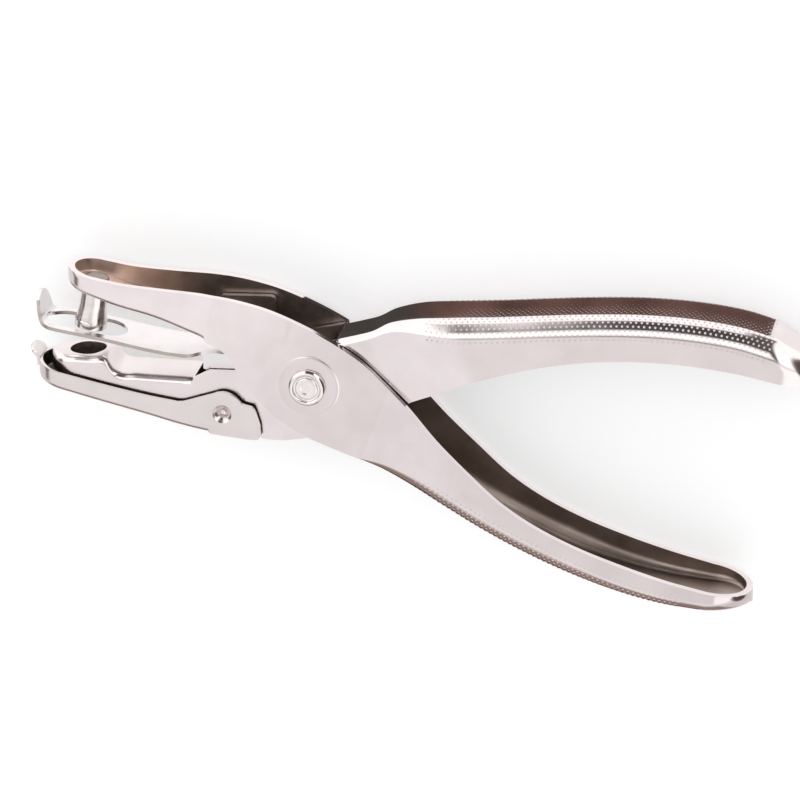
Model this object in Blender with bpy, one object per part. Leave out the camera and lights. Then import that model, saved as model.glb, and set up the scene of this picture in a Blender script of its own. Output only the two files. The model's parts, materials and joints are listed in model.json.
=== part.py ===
"""Single-hole plier punch, lying on its side.

The pivot runs along Z, the jaws point to -X, the handles to +X, and +Y is up when the punch is held.
Two stamped channels cross at the pivot. The outer one is the upper jaw and the lower handle, with its
web below. The inner one nests between the outer one's cheeks and is the lower jaw and the upper handle,
with its web above. Sizes are in millimetres. MM turns them into Blender's metres.
"""

import math

import bmesh
import bpy
from mathutils import Matrix, Vector

MM = 0.001

# ---- driving dimensions ----
SHEET = 1.1  # both levers' steel
TRAY_SHEET = 0.6
GUIDE_SHEET = 0.6
CLEARANCE = 0.3  # between pieces that lie against each other
RUNNING_FIT = 0.1  # radial, at the pivot
INNER_GAP = 7.2  # between the inner lever's cheeks
HANDLE_LENGTH = 62.0  # from the cheeks to the upper handle's end
JAW_TAPER = 0.85  # how much narrower each side of the outer lever is at its nose
SHANK_RADIUS = 2.0  # pivot rivet
RIVET_HEAD_RADIUS = 3.05
RIVET_HEAD_HEIGHT = 0.8
BUSH_WALL = 0.9
WIRE = 1.1  # return spring
COIL_TURNS = 3
DIE_RADIUS = 3.0
PUNCH_GAP = 0.3  # radial, between punch and die
PIN_NECK_RADIUS = 2.15
PIN_TAIL_RADIUS = 1.4
PIN_HEAD_RADIUS = 2.4
PUNCH_HEIGHT = 1.2
DIE_DISTANCE = 38.0  # from the pivot to the die's middle, which sets how long the jaws are
DIE_LEVEL = 2.1
LIFT = 6.0  # degrees from rest until the punch reaches the die
LOWER_BEND = 1.2  # outer radius of the jaws' bends
HANDLE_BEND = 3.4
CHEEK_EDGE = 0.3  # rounding along a cheek's edge
TRAY_HINGE = Vector((-14.3, -5.8))
TRAY_GAP = 0.65  # between the tray's walls and the lower jaw's
DIMPLE_RADIUS = 1.05
SLOT_LENGTH = 13.6
SLOT_WIDTH = 7.2
GUIDE_HALF_WIDTH = 5.0
LIP_HEIGHT = 5.0
LIP_HALF_WIDTH = 3.5
TAB_HALF_WIDTH = 2.4
EAR_RADIUS = 3.4  # the guide's ears around the rivet
WEB_STOP = -17.0  # the upper jaw's web ends here, and the inner lever's ears rest against it

# ---- sizes that follow from them ----
INNER_CHEEK = INNER_GAP / 2 + SHEET
OUTER_CHEEK = INNER_CHEEK + CLEARANCE + SHEET
HANDLE_HALF_WIDTH = OUTER_CHEEK + CLEARANCE + RIVET_HEAD_HEIGHT
PUNCH_RADIUS = DIE_RADIUS - PUNCH_GAP
TRAY_HALF_WIDTH = INNER_CHEEK + TRAY_GAP + TRAY_SHEET
EAR_OUTSIDE = INNER_GAP / 2 - CLEARANCE
EAR_INSIDE = EAR_OUTSIDE - GUIDE_SHEET
BUSH_HALF_LENGTH = EAR_INSIDE - CLEARANCE
BUSH_BORE = SHANK_RADIUS + RUNNING_FIT
BUSH_RADIUS = BUSH_BORE + BUSH_WALL
COIL_RADIUS = BUSH_RADIUS + CLEARANCE + WIRE / 2
MID_HEIGHT = HANDLE_HALF_WIDTH

# The outlines are drawn for these lengths, and stretched to the ones above.
DRAWN_DIE = 38.0
DRAWN_HANDLE = 62.0
JAW_ROOT = -17.0
HANDLE_ROOT = 22.0

ARC_STEPS = 5
END_STEPS = 7
ROUND = 32  # sides of a round piece
OVERSHOOT = 4.0  # how far a cutter runs past what it cuts


def along(x):
    """An outline's X, stretched to where the die is and to the real handle length."""
    if x < JAW_ROOT:
        return JAW_ROOT + (x - JAW_ROOT) * (DIE_DISTANCE + JAW_ROOT) / (DRAWN_DIE + JAW_ROOT)
    if x > HANDLE_ROOT:
        return HANDLE_ROOT + (x - HANDLE_ROOT) * HANDLE_LENGTH / DRAWN_HANDLE
    return x


def point(x, y):
    return Vector((along(x), y))


# ---- scene and materials ----
def clear_scene():
    for old in list(bpy.data.objects):
        bpy.data.objects.remove(old, do_unlink=True)


def metal(name, colour, roughness):
    material = bpy.data.materials.new(name)
    material.use_nodes = True
    shader = material.node_tree.nodes["Principled BSDF"]
    shader.inputs["Base Color"].default_value = (*colour, 1.0)
    shader.inputs["Metallic"].default_value = 1.0
    shader.inputs["Roughness"].default_value = roughness
    material.diffuse_color = (*colour, 1.0)
    return material


def empty(name, place, parent=None):
    made = bpy.data.objects.new(name, None)
    made.empty_display_size = 10 * MM
    made.parent = parent
    made.location = Vector(place) * MM
    bpy.context.scene.collection.objects.link(made)
    return made


def solid(name, mesh, parent, material=None, origin=(0, 0, 0)):
    """Makes an object of a bmesh drawn in millimetres about the pivot, with its origin at the point given."""
    bmesh.ops.remove_doubles(mesh, verts=mesh.verts, dist=0.002)
    bmesh.ops.dissolve_degenerate(mesh, edges=mesh.edges, dist=0.002)
    bmesh.ops.recalc_face_normals(mesh, faces=mesh.faces)
    bmesh.ops.translate(mesh, verts=mesh.verts, vec=-Vector(origin))
    bmesh.ops.scale(mesh, verts=mesh.verts, vec=(MM, MM, MM))
    data = bpy.data.meshes.new(name)
    mesh.to_mesh(data)
    mesh.free()
    made = bpy.data.objects.new(name, data)
    bpy.context.scene.collection.objects.link(made)
    made.parent = parent
    offset = Vector(origin) if parent is None else Vector(origin) - centre_of(parent)
    made.location = offset * MM
    data.shade_smooth()
    data.set_sharp_from_angle(angle=math.radians(35))
    if material:
        data.materials.append(material)
    else:
        made.hide_render = True
        made.display_type = "WIRE"
    return made


def centre_of(frame):
    """A frame empty's place about the pivot, in millimetres."""
    return Vector((frame.location.x, frame.location.y, 0)) / MM if frame.parent else Vector((0, 0, 0))


def boolean(target, tool, operation="DIFFERENCE"):
    step = target.modifiers.new(f"{operation.lower()}_{tool.name}", "BOOLEAN")
    step.operation = operation
    # The channels' skewed quads leave EXACT with split edges after the first cut.
    step.solver = "MANIFOLD"
    step.object = tool


# ---- channel sections ----
class Station:
    """One cross-section of a channel: where the web and the free edge are, half the width and the bend.

    Where open_web is set, the web is cut away and only the two walls are left.
    """

    def __init__(self, web, edge, half, bend, open_web=False):
        self.web = Vector(web)
        self.edge = Vector(edge)
        self.half = half
        self.bend = bend
        self.open_web = open_web

    def values(self):
        return [*self.web, *self.edge, self.half, self.bend]

    @staticmethod
    def of(values, open_web):
        half = min(values[4], HANDLE_HALF_WIDTH)
        return Station(values[0:2], values[2:4], half, values[5], open_web)

    def middle(self):
        return (self.web + self.edge) / 2

    def towards(self, tip, share, half):
        return Station(self.web.lerp(tip[0], share), self.edge.lerp(tip[1], share), half, self.bend)


def smooth(keys, steps=3):
    """Stations on a smooth curve through the key stations, spaced by their distance."""
    rows = [key.values() for key in keys]
    at = [0.0]
    for one, other in zip(keys, keys[1:]):
        at.append(at[-1] + (other.middle() - one.middle()).length)
    slopes = []
    for i in range(len(rows)):
        low, high = max(i - 1, 0), min(i + 1, len(rows) - 1)
        slopes.append([(b - a) / (at[high] - at[low]) for a, b in zip(rows[low], rows[high])])
    made = [keys[0]]
    for i in range(len(rows) - 1):
        span = at[i + 1] - at[i]
        for step in range(1, steps + 1):
            t = step / steps
            start, start_slope = 2 * t**3 - 3 * t**2 + 1, (t**3 - 2 * t**2 + t) * span
            end, end_slope = 3 * t**2 - 2 * t**3, (t**3 - t**2) * span
            values = [
                start * a + start_slope * da + end * b + end_slope * db
                for a, da, b, db in zip(rows[i], slopes[i], rows[i + 1], slopes[i + 1])
            ]
            both_open = keys[i].open_web and keys[i + 1].open_web
            made.append(Station.of(values, both_open or (step == steps and keys[i + 1].open_web)))
    return made


def inset_stations(stations, inset, front, rear):
    """The stations moved in by a wall's thickness, with the round ends that front and rear tips ask for."""
    moved = []
    for i, station in enumerate(stations):
        low, high = stations[max(i - 1, 0)].web, stations[min(i + 1, len(stations) - 1)].web
        run = (high - low).normalized()
        up = (station.web - station.edge).normalized()
        square = max(abs(up.x * run.y - up.y * run.x), 0.6)
        web = station.web - up * inset / square
        if inset and station.open_web:
            web = station.web + up * OVERSHOOT
        moved.append(Station(web, station.edge, station.half - inset, max(station.bend - inset, 0.15)))
    for tip, at_front in ((front, True), (rear, False)):
        if tip:
            base = moved[0] if at_front else moved[-1]
            outer = stations[0] if at_front else stations[-1]
            length = ((tip[0] + tip[1]) / 2 - outer.middle()).length
            shift = base.web - outer.web
            inner_tip = (tip[0] + shift, tip[1])
            reach = (length - inset) / length
            cap = []
            for step in range(1, END_STEPS + 1):
                angle = math.radians(90) * step / END_STEPS
                half = 0.0 if step == END_STEPS else base.half * math.cos(angle)
                cap.append(base.towards(inner_tip, reach * math.sin(angle), half))
            moved = cap[::-1] + moved if at_front else moved + cap
    return moved


def section(station, lid):
    """The closed outline of one station: near edge, near wall, bend, web, bend, far wall, far edge."""
    up = (station.web - station.edge).normalized()
    depth = (station.web - station.edge).length
    bend = min(station.bend, station.half * 0.98, depth * 0.9)
    side = [station.edge - up * lid]
    side = [(side[0], station.half)]
    for step in range(ARC_STEPS + 1):
        angle = math.radians(90) * step / ARC_STEPS
        rise = depth - bend + bend * math.sin(angle)
        side.append((station.edge + up * rise, station.half - bend + bend * math.cos(angle)))
    near = [Vector((p.x, p.y, z)) for p, z in side]
    far = [Vector((p.x, p.y, -z)) for p, z in reversed(side)]
    return near + far


def boat(stations, inset=0.0, lid=0.0, front=None, rear=None):
    """A closed body through the stations, lidded across the free edges."""
    mesh = bmesh.new()
    rings = []
    for station in inset_stations(stations, inset, front, rear):
        rings.append([mesh.verts.new(p) for p in section(station, lid)])
    for one, other in zip(rings, rings[1:]):
        for i in range(len(one)):
            j = (i + 1) % len(one)
            mesh.faces.new((one[i], one[j], other[j], other[i]))
    if not front:
        mesh.faces.new(rings[0])
    if not rear:
        mesh.faces.new(rings[-1])
    return mesh


def prism(outline, low, high):
    """An outline in the XY plane, extruded along Z."""
    mesh = bmesh.new()
    face = mesh.faces.new([mesh.verts.new((p[0], p[1], low)) for p in outline])
    grown = bmesh.ops.extrude_face_region(mesh, geom=[face])
    moved = [item for item in grown["geom"] if isinstance(item, bmesh.types.BMVert)]
    bmesh.ops.translate(mesh, verts=moved, vec=(0, 0, high - low))
    return mesh


def cylinder(radius, low, high, centre=(0, 0), top_radius=None):
    mesh = bmesh.new()
    bmesh.ops.create_cone(
        mesh,
        cap_ends=True,
        segments=ROUND,
        radius1=radius,
        radius2=radius if top_radius is None else top_radius,
        depth=high - low,
        matrix=Matrix.Translation((centre[0], centre[1], (low + high) / 2)),
    )
    return mesh


def turned(profile, turn=None):
    """A profile of (radius, height) points turned about Z, from the bottom pole to the top pole."""
    mesh = bmesh.new()
    rings = []
    for radius, height in profile:
        if radius == 0:
            rings.append([mesh.verts.new((0, 0, height))])
            continue
        angles = [2 * math.pi * i / ROUND for i in range(ROUND)]
        rings.append([mesh.verts.new((radius * math.cos(a), radius * math.sin(a), height)) for a in angles])
    for one, other in zip(rings, rings[1:]):
        for i in range(ROUND):
            j = (i + 1) % ROUND
            corners = [one[i % len(one)], one[j % len(one)], other[j % len(other)], other[i % len(other)]]
            mesh.faces.new(list(dict.fromkeys(corners)))
    if turn:
        bmesh.ops.transform(mesh, verts=mesh.verts, matrix=turn)
    return mesh


def channel(name, stations, sheet, material, parent, front, rear, origin=(0, 0, 0)):
    """A bent-up channel: the outer body less the body one sheet thickness inside it."""
    made = solid(name, boat(stations, front=front, rear=rear), parent, material, origin)
    hollow = solid(f"{name}_hollow", boat(stations, sheet, OVERSHOOT, front, rear), parent, None, origin)
    boolean(made, hollow)
    return made


def cut(target, name, mesh, parent, origin=(0, 0, 0)):
    boolean(target, solid(name, mesh, parent, None, origin))


# ---- outer lever: upper jaw and lower handle, web below ----
def outer_stations():
    cheek, handle = OUTER_CHEEK, HANDLE_HALF_WIDTH
    nose = cheek - JAW_TAPER
    jaw = [
        Station(point(-36.4, 12.8), point(-36.0, 16.1), nose, LOWER_BEND),
        Station(point(-31.7, 11.3), point(-31.0, 15.3), nose + 0.1, LOWER_BEND),
        Station(point(-25.7, 9.9), point(-24.6, 14.9), nose + 0.3, LOWER_BEND),
        Station(point(-19.8, 7.9), point(-18.2, 14.65), cheek - 0.2, LOWER_BEND),
        Station(point(WEB_STOP - 0.4, 6.95), point(-15.5, 14.4), cheek, LOWER_BEND),
        Station(point(WEB_STOP, 6.8), point(-15.1, 14.37), cheek, CHEEK_EDGE, True),
        Station(point(-14.4, 5.4), point(-12.4, 14.0), cheek, CHEEK_EDGE, True),
        Station(point(-12.9, 3.9), point(-9.9, 13.5), cheek, CHEEK_EDGE, True),
        Station(point(-11.4, 1.3), point(-7.3, 12.85), cheek, CHEEK_EDGE, True),
        Station(point(-9.5, -1.4), point(-4.5, 11.9), cheek, CHEEK_EDGE, True),
        Station(point(-6.8, -4.4), point(-1.5, 10.65), cheek, CHEEK_EDGE, True),
        Station(point(-3.7, -6.8), point(2.0, 9.0), cheek, CHEEK_EDGE, True),
        Station(point(-0.2, -8.8), point(5.3, 7.15), cheek, CHEEK_EDGE, True),
        Station(point(4.1, -10.5), point(9.2, 4.5), cheek, CHEEK_EDGE, True),
        Station(point(8.4, -12.0), point(13.1, 0.8), cheek, CHEEK_EDGE, True),
        Station(point(12.4, -14.2), point(16.8, -3.0), cheek + 0.2, 2.2),
        Station(point(17.0, -16.9), point(21.2, -8.0), cheek + 0.7, HANDLE_BEND),
        Station(point(22.2, -19.9), point(26.5, -13.2), handle, HANDLE_BEND),
        Station(point(28.0, -23.3), point(31.8, -18.0), handle, HANDLE_BEND),
        Station(point(34.6, -26.7), point(37.6, -21.8), handle, HANDLE_BEND),
        Station(point(42.2, -30.0), point(44.3, -25.0), handle, HANDLE_BEND),
        Station(point(50.2, -32.6), point(51.5, -27.6), handle, 3.0),
        Station(point(58.0, -34.3), point(58.8, -29.8), handle, 2.6),
        Station(point(65.5, -35.2), point(66.0, -31.5), handle - 0.2, 2.2),
    ]
    return smooth(jaw, 2)


def build_outer_lever(steel, frame):
    nose = (point(-40.9, 14.1), point(-40.9, 17.1))
    end = (point(73.0, -35.0), point(73.0, -32.6))
    lever = channel("upper_jaw_lever", outer_stations(), SHEET, steel, frame, nose, end)
    bore = SHANK_RADIUS + RUNNING_FIT
    cut(lever, "outer_rivet_holes", cylinder(bore, -2 * OUTER_CHEEK, 2 * OUTER_CHEEK), frame)
    hole = turned([(0, -OVERSHOOT), (pin_hole(), -OVERSHOOT), (pin_hole(), OVERSHOOT), (0, OVERSHOOT)])
    bmesh.ops.transform(hole, matrix=pin_frame(web_above_tip() + SHEET / 2), verts=hole.verts)
    cut(lever, "outer_pin_hole", hole, frame)
    return lever


# ---- punch pin ----
def pin_hole():
    return PIN_TAIL_RADIUS + CLEARANCE


def die_angle():
    return math.atan2(DIE_LEVEL, DIE_DISTANCE)


def pin_frame(height):
    """Where the punch stands at rest, with Z along it, measured up from its cutting end."""
    angle = die_angle() + math.radians(LIFT)
    reach = math.hypot(DIE_DISTANCE, DIE_LEVEL)
    tip = Vector((-reach * math.cos(angle), reach * math.sin(angle), 0))
    up = Vector((math.sin(angle), math.cos(angle), 0))
    side = Vector((0, 0, 1))
    ahead = up.cross(side)
    turn = Matrix((side, ahead, up)).transposed().to_4x4()
    if turn.determinant() < 0:
        turn = Matrix((side, -ahead, up)).transposed().to_4x4()
    return Matrix.Translation(tip + up * height) @ turn


def web_above_tip():
    """How far along the punch the upper jaw's web begins."""
    stations = outer_stations()
    tip = pin_frame(0).translation
    up = pin_frame(0).to_3x3() @ Vector((0, 0, 1))
    for one, other in zip(stations, stations[1:]):
        low = Vector((tip.x, tip.y))
        run = other.web - one.web
        axis = Vector((up.x, up.y))
        across = axis.x * run.y - axis.y * run.x
        gap = one.web - low
        along_run = (gap.x * axis.y - gap.y * axis.x) / across
        if 0 <= along_run <= 1:
            return (gap.x * run.y - gap.y * run.x) / across
    return (stations[0].web - Vector((tip.x, tip.y))).dot(Vector((up.x, up.y)))


def build_pin(steel, frame):
    shoulder = web_above_tip() - CLEARANCE - 0.5
    seat = web_above_tip() + SHEET + CLEARANCE + 0.7
    profile = [
        (0, 0.35),
        (PUNCH_RADIUS - 0.6, 0.25),
        (PUNCH_RADIUS, 0.0),
        (PUNCH_RADIUS, PUNCH_HEIGHT),
        (PIN_NECK_RADIUS, PUNCH_HEIGHT + 2.2),
        (PIN_NECK_RADIUS, shoulder),
        (PIN_TAIL_RADIUS, shoulder),
        (PIN_TAIL_RADIUS, seat),
        (PIN_HEAD_RADIUS, seat),
        (PIN_HEAD_RADIUS - 0.2, seat + 0.5),
        (PIN_HEAD_RADIUS - 1.0, seat + 0.8),
        (0, seat + 0.8),
    ]
    return solid("punch_pin", turned(profile, pin_frame(0)), frame, steel)


# ---- inner lever: lower jaw and upper handle, web above ----
def inner_stations():
    cheek, handle = INNER_CHEEK, HANDLE_HALF_WIDTH
    ear = WEB_STOP + CLEARANCE
    jaw = smooth(
        [
            Station(point(-39.4, DIE_LEVEL), point(-39.4, -1.6), cheek, LOWER_BEND),
            Station(point(-36.8, DIE_LEVEL), point(-36.8, -1.9), cheek, LOWER_BEND),
            Station(point(-34.3, DIE_LEVEL), point(-34.3, -2.3), cheek, LOWER_BEND),
            Station(point(-32.3, -0.2), point(-32.3, -2.9), cheek, LOWER_BEND),
            Station(point(-29.0, -0.4), point(-29.0, -3.6), cheek, LOWER_BEND),
            Station(point(-19.6, -0.45), point(-20.5, -5.9), cheek, LOWER_BEND),
        ],
        2,
    )
    cheeks = [
        Station((-18.3, 0.2), (-18.0, -7.5), cheek, CHEEK_EDGE, True),
        Station((ear - 0.1, 1.0), (-16.8, -8.0), cheek, CHEEK_EDGE, True),
        Station((ear, 10.9), (-16.2, -8.2), cheek, CHEEK_EDGE, True),
        Station((ear + 0.5, 11.4), (-15.2, -8.4), cheek, CHEEK_EDGE, True),
        Station((-7.7, 11.7), (-9.8, -8.5), cheek, CHEEK_EDGE, True),
        Station((-7.1, 11.2), (-8.9, -9.5), cheek, CHEEK_EDGE, True),
        Station((-6.9, 6.2), (-7.9, -10.1), cheek, CHEEK_EDGE, True),
        Station((-6.0, 5.5), (-6.0, -10.25), cheek, CHEEK_EDGE, True),
        Station((-3.0, 5.6), (-4.0, -10.15), cheek, CHEEK_EDGE, True),
        Station((-0.7, 6.5), (-1.0, -9.65), cheek, CHEEK_EDGE, True),
        Station((2.0, 7.1), (3.0, -8.7), cheek, CHEEK_EDGE, True),
    ]
    grip = smooth(
        [
            Station((4.8, 7.8), (8.0, -6.9), cheek, LOWER_BEND),
            Station((7.6, 8.6), (12.4, -4.7), cheek, LOWER_BEND),
            Station((10.3, 9.5), (16.2, -2.4), cheek, LOWER_BEND),
            Station((13.2, 11.1), (19.4, -0.9), cheek + 0.5, 1.8),
            Station((17.6, 12.2), (22.8, 0.9), (cheek + handle) / 2 + 0.6, 2.8),
            Station(point(23.0, 12.7), point(27.2, 2.8), handle, HANDLE_BEND),
            Station(point(30.5, 13.3), point(33.0, 4.8), handle, HANDLE_BEND),
            Station(point(38.5, 14.1), point(40.0, 6.6), handle, HANDLE_BEND),
            Station(point(46.5, 14.8), point(47.2, 7.8), handle, HANDLE_BEND),
            Station(point(54.5, 15.2), point(54.7, 8.3), handle, HANDLE_BEND),
            Station(point(62.5, 15.0), point(62.5, 8.1), handle, HANDLE_BEND),
            Station(point(70.0, 14.1), point(69.6, 7.3), handle, HANDLE_BEND),
            Station(point(76.0, 12.5), point(75.4, 6.2), handle, HANDLE_BEND),
        ]
    )
    return jaw + cheeks + grip


def build_inner_lever(steel, frame):
    nose = (point(-44.0, DIE_LEVEL - 0.3), point(-44.0, -1.0))
    end = (point(84.5, 7.4), point(83.6, 4.4))
    lever = channel("lower_jaw_lever", inner_stations(), SHEET, steel, frame, nose, end)
    bore = SHANK_RADIUS + RUNNING_FIT
    cut(lever, "inner_rivet_holes", cylinder(bore, -2 * OUTER_CHEEK, 2 * OUTER_CHEEK), frame)
    ear = WEB_STOP + CLEARANCE
    notch = [(ear - 0.7, 1.05), (ear, 1.05), (-11.3, 1.25), (-11.3, 4.4), (ear, 6.8), (ear - 0.7, 7.1)]
    cut(lever, "inner_ear_notches", prism(notch, -2 * OUTER_CHEEK, 2 * OUTER_CHEEK), frame)
    hinge = DIMPLE_RADIUS + CLEARANCE
    hinge_holes = cylinder(hinge, -2 * OUTER_CHEEK, 2 * OUTER_CHEEK, TRAY_HINGE)
    cut(lever, "inner_tray_holes", hinge_holes, frame)
    die = turned([(0, -OVERSHOOT), (DIE_RADIUS, -OVERSHOOT), (DIE_RADIUS, OVERSHOOT), (0, OVERSHOOT)])
    angle = die_angle()
    lay = Matrix.Translation((-DIE_DISTANCE, DIE_LEVEL, 0)) @ Matrix.Rotation(-angle, 4, "Z")
    bmesh.ops.transform(die, matrix=lay @ Matrix.Rotation(math.radians(-90), 4, "X"), verts=die.verts)
    cut(lever, "die_hole", die, frame)
    return lever


# ---- paper guide and stripper ----
def guide_line():
    """The plate's middle line, from the lip's top to its rear end, as (x, y, half width)."""
    wide = GUIDE_HALF_WIDTH
    flat = [
        (-42.8, 6.83, wide - 0.15),
        (-39.1, 6.3, wide),
        (-33.8, 5.5, wide),
        (-27.3, 4.3, wide),
        (-21.0, 3.6, wide),
        (-19.4, 3.6, 4.4),
        (-18.0, 3.6, EAR_OUTSIDE),
        (-13.4, 3.4, EAR_OUTSIDE),
    ]
    lip = []
    for step in range(7):
        angle = math.radians(15 * step)
        half = LIP_HALF_WIDTH * max(math.cos(angle), 0.12)
        lip.append((-45.2 - 0.65 * math.sin(angle), 8.4 + (LIP_HEIGHT - 1.5) * math.sin(angle), half))
    fold = [(-45.1, 8.0, wide - 1.4), (-44.85, 7.5, wide - 1.15)]
    fold += [(-44.4, 7.1, wide - 0.85), (-43.8, 6.9, wide - 0.5)]
    return [(along(x), y, half) for x, y, half in lip[::-1] + fold + flat]


def build_guide(steel, frame):
    line = guide_line()
    mesh = bmesh.new()
    rings = []
    for i, (x, y, half) in enumerate(line):
        low, high = line[max(i - 1, 0)], line[min(i + 1, len(line) - 1)]
        run = Vector((high[0] - low[0], high[1] - low[1])).normalized()
        over = Vector((-run.y, run.x)) * GUIDE_SHEET / 2
        corners = [(over, half), (over, -half), (-over, -half), (-over, half)]
        rings.append([mesh.verts.new((x + o.x, y + o.y, z)) for o, z in corners])
    for one, other in zip(rings, rings[1:]):
        for i in range(4):
            j = (i + 1) % 4
            mesh.faces.new((one[i], one[j], other[j], other[i]))
    mesh.faces.new(rings[0])
    mesh.faces.new(rings[-1])
    guide = solid("stripper_plate", mesh, frame, steel)

    ear = [(-16.4, 3.5), (-13.4, 3.5), (-13.4, 3.3)]
    top = math.radians(70)
    for step in range(9):
        angle = top - (2 * math.pi - math.radians(150)) * step / 8
        ear.append((EAR_RADIUS * math.cos(angle), EAR_RADIUS * math.sin(angle)))
    ear += [(-13.4, -0.2), (-16.4, 1.2)]
    for side, low in (("near", EAR_INSIDE), ("far", -EAR_OUTSIDE)):
        tool = solid(f"guide_ear_{side}", prism(ear, low, low + GUIDE_SHEET), frame)
        boolean(guide, tool, "UNION")

    middle = along(-38.1)
    radius = SLOT_WIDTH / 2
    straight = SLOT_LENGTH / 2 - radius
    slot = []
    for side in (1, -1):
        for step in range(ROUND // 2 + 1):
            angle = math.pi * step / (ROUND // 2) - math.pi / 2
            slot.append((side * (straight + radius * math.cos(angle)), side * radius * math.sin(angle)))
    tool = prism(slot, -OVERSHOOT, OVERSHOOT)
    lay = Matrix.Translation((middle, 6.1, 0)) @ Matrix.Rotation(math.radians(-8), 4, "Z")
    bmesh.ops.transform(tool, matrix=lay @ Matrix.Rotation(math.radians(-90), 4, "X"), verts=tool.verts)
    slot_tool = solid("guide_slot", tool, frame)
    boolean(guide, slot_tool)
    holes = cylinder(SHANK_RADIUS + RUNNING_FIT, -OUTER_CHEEK, OUTER_CHEEK)
    cut(guide, "guide_rivet_holes", holes, frame)
    return guide


# ---- chip tray ----
def tray_stations():
    half = TRAY_HALF_WIDTH
    front = smooth(
        [
            Station(point(-41.6, -3.6), point(-41.6, -0.5), half, LOWER_BEND),
            Station(point(-34.6, -5.3), point(-34.6, -2.0), half, LOWER_BEND),
            Station(point(-27.3, -7.0), point(-27.3, -3.4), half, LOWER_BEND),
            Station(point(-22.6, -8.2), point(-21.8, -4.2), half, LOWER_BEND),
        ],
        2,
    )
    rear = [
        Station((-19.3, -8.9), (-19.4, -3.6), half, LOWER_BEND),
        Station((-16.9, -9.3), (-15.6, -2.3), half, LOWER_BEND),
        Station((-16.4, -9.35), (-15.2, -2.1), half, CHEEK_EDGE, True),
        Station((-15.2, -9.5), (-14.3, -1.95), half, CHEEK_EDGE, True),
        Station((-13.2, -9.7), (-12.9, -2.2), half, CHEEK_EDGE, True),
        Station((-11.6, -9.85), (-11.6, -3.2), half, CHEEK_EDGE, True),
        Station((-10.4, -9.95), (-10.6, -4.0), half, CHEEK_EDGE, True),
        Station((-9.3, -10.0), (-9.3, -4.3), half, CHEEK_EDGE, True),
        Station((-8.3, -9.9), (-8.7, -5.1), half, CHEEK_EDGE, True),
        Station((-7.8, -9.0), (-8.0, -7.4), half, CHEEK_EDGE, True),
    ]
    return front + rear


def build_tray(steel, frame):
    origin = (*TRAY_HINGE, 0)
    nose = (point(-46.2, -2.5), point(-46.2, 0.7))
    tray = channel("chip_tray", tray_stations(), TRAY_SHEET, steel, frame, nose, None, origin)
    inside = TRAY_HALF_WIDTH - TRAY_SHEET

    tab = bmesh.new()
    foot = Vector((along(-46.0), -0.6))
    rise = [(0.0, 0.0, TAB_HALF_WIDTH), (-0.1, 1.6, TAB_HALF_WIDTH)]
    for step in range(1, 7):
        angle = math.radians(15 * step)
        half = TAB_HALF_WIDTH * max(math.cos(angle), 0.15)
        rise.append((-0.1 - 1.5 * math.sin(angle), 1.6 + 1.7 * math.sin(angle), half))
    rings = []
    for x, y, half in rise:
        place = foot + Vector((x, y))
        sides = [(-0.3, half), (0.3, half), (0.3, -half), (-0.3, -half)]
        rings.append([tab.verts.new((place.x + dx, place.y, z)) for dx, z in sides])
    for one, other in zip(rings, rings[1:]):
        for i in range(4):
            j = (i + 1) % 4
            tab.faces.new((one[i], one[j], other[j], other[i]))
    tab.faces.new(rings[0])
    tab.faces.new(rings[-1])
    boolean(tray, solid("tray_tab", tab, frame, None, origin), "UNION")

    outside = TRAY_HALF_WIDTH
    depth = TRAY_GAP + 0.8
    for side, sign in (("near", 1), ("far", -1)):
        low, high = sorted((sign * (inside - depth), sign * (inside + 0.3)))
        radii = (0.7, DIMPLE_RADIUS) if sign > 0 else (DIMPLE_RADIUS, 0.7)
        bump = cylinder(radii[0], low, high, TRAY_HINGE, radii[1])
        boolean(tray, solid(f"tray_dimple_{side}", bump, frame, None, origin), "UNION")
        low, high = sorted((sign * (inside - 0.3), sign * (outside + 0.3)))
        radii = (0.3, 1.3) if sign > 0 else (1.3, 0.3)
        hollow = cylinder(radii[0], low, high, TRAY_HINGE, radii[1])
        cut(tray, f"tray_recess_{side}", hollow, frame, origin)
    return tray


# ---- pivot: rivet, bush and return spring ----
def build_rivet(steel, frame):
    under = OUTER_CHEEK + CLEARANCE
    top = HANDLE_HALF_WIDTH
    profile = [
        (0, -top),
        (RIVET_HEAD_RADIUS - 0.35, -top),
        (RIVET_HEAD_RADIUS, -top + 0.35),
        (RIVET_HEAD_RADIUS, -under),
        (SHANK_RADIUS, -under),
        (SHANK_RADIUS, under),
        (RIVET_HEAD_RADIUS, under),
        (RIVET_HEAD_RADIUS, top - 0.35),
        (RIVET_HEAD_RADIUS - 0.35, top),
        (0, top),
    ]
    return solid("pivot_rivet", turned(profile), frame, steel)


def build_bush(steel, frame):
    bush = solid("spring_bush", cylinder(BUSH_RADIUS, -BUSH_HALF_LENGTH, BUSH_HALF_LENGTH), frame, steel)
    cut(bush, "bush_bore", cylinder(BUSH_BORE, -OUTER_CHEEK, OUTER_CHEEK), frame)
    return bush


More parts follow.
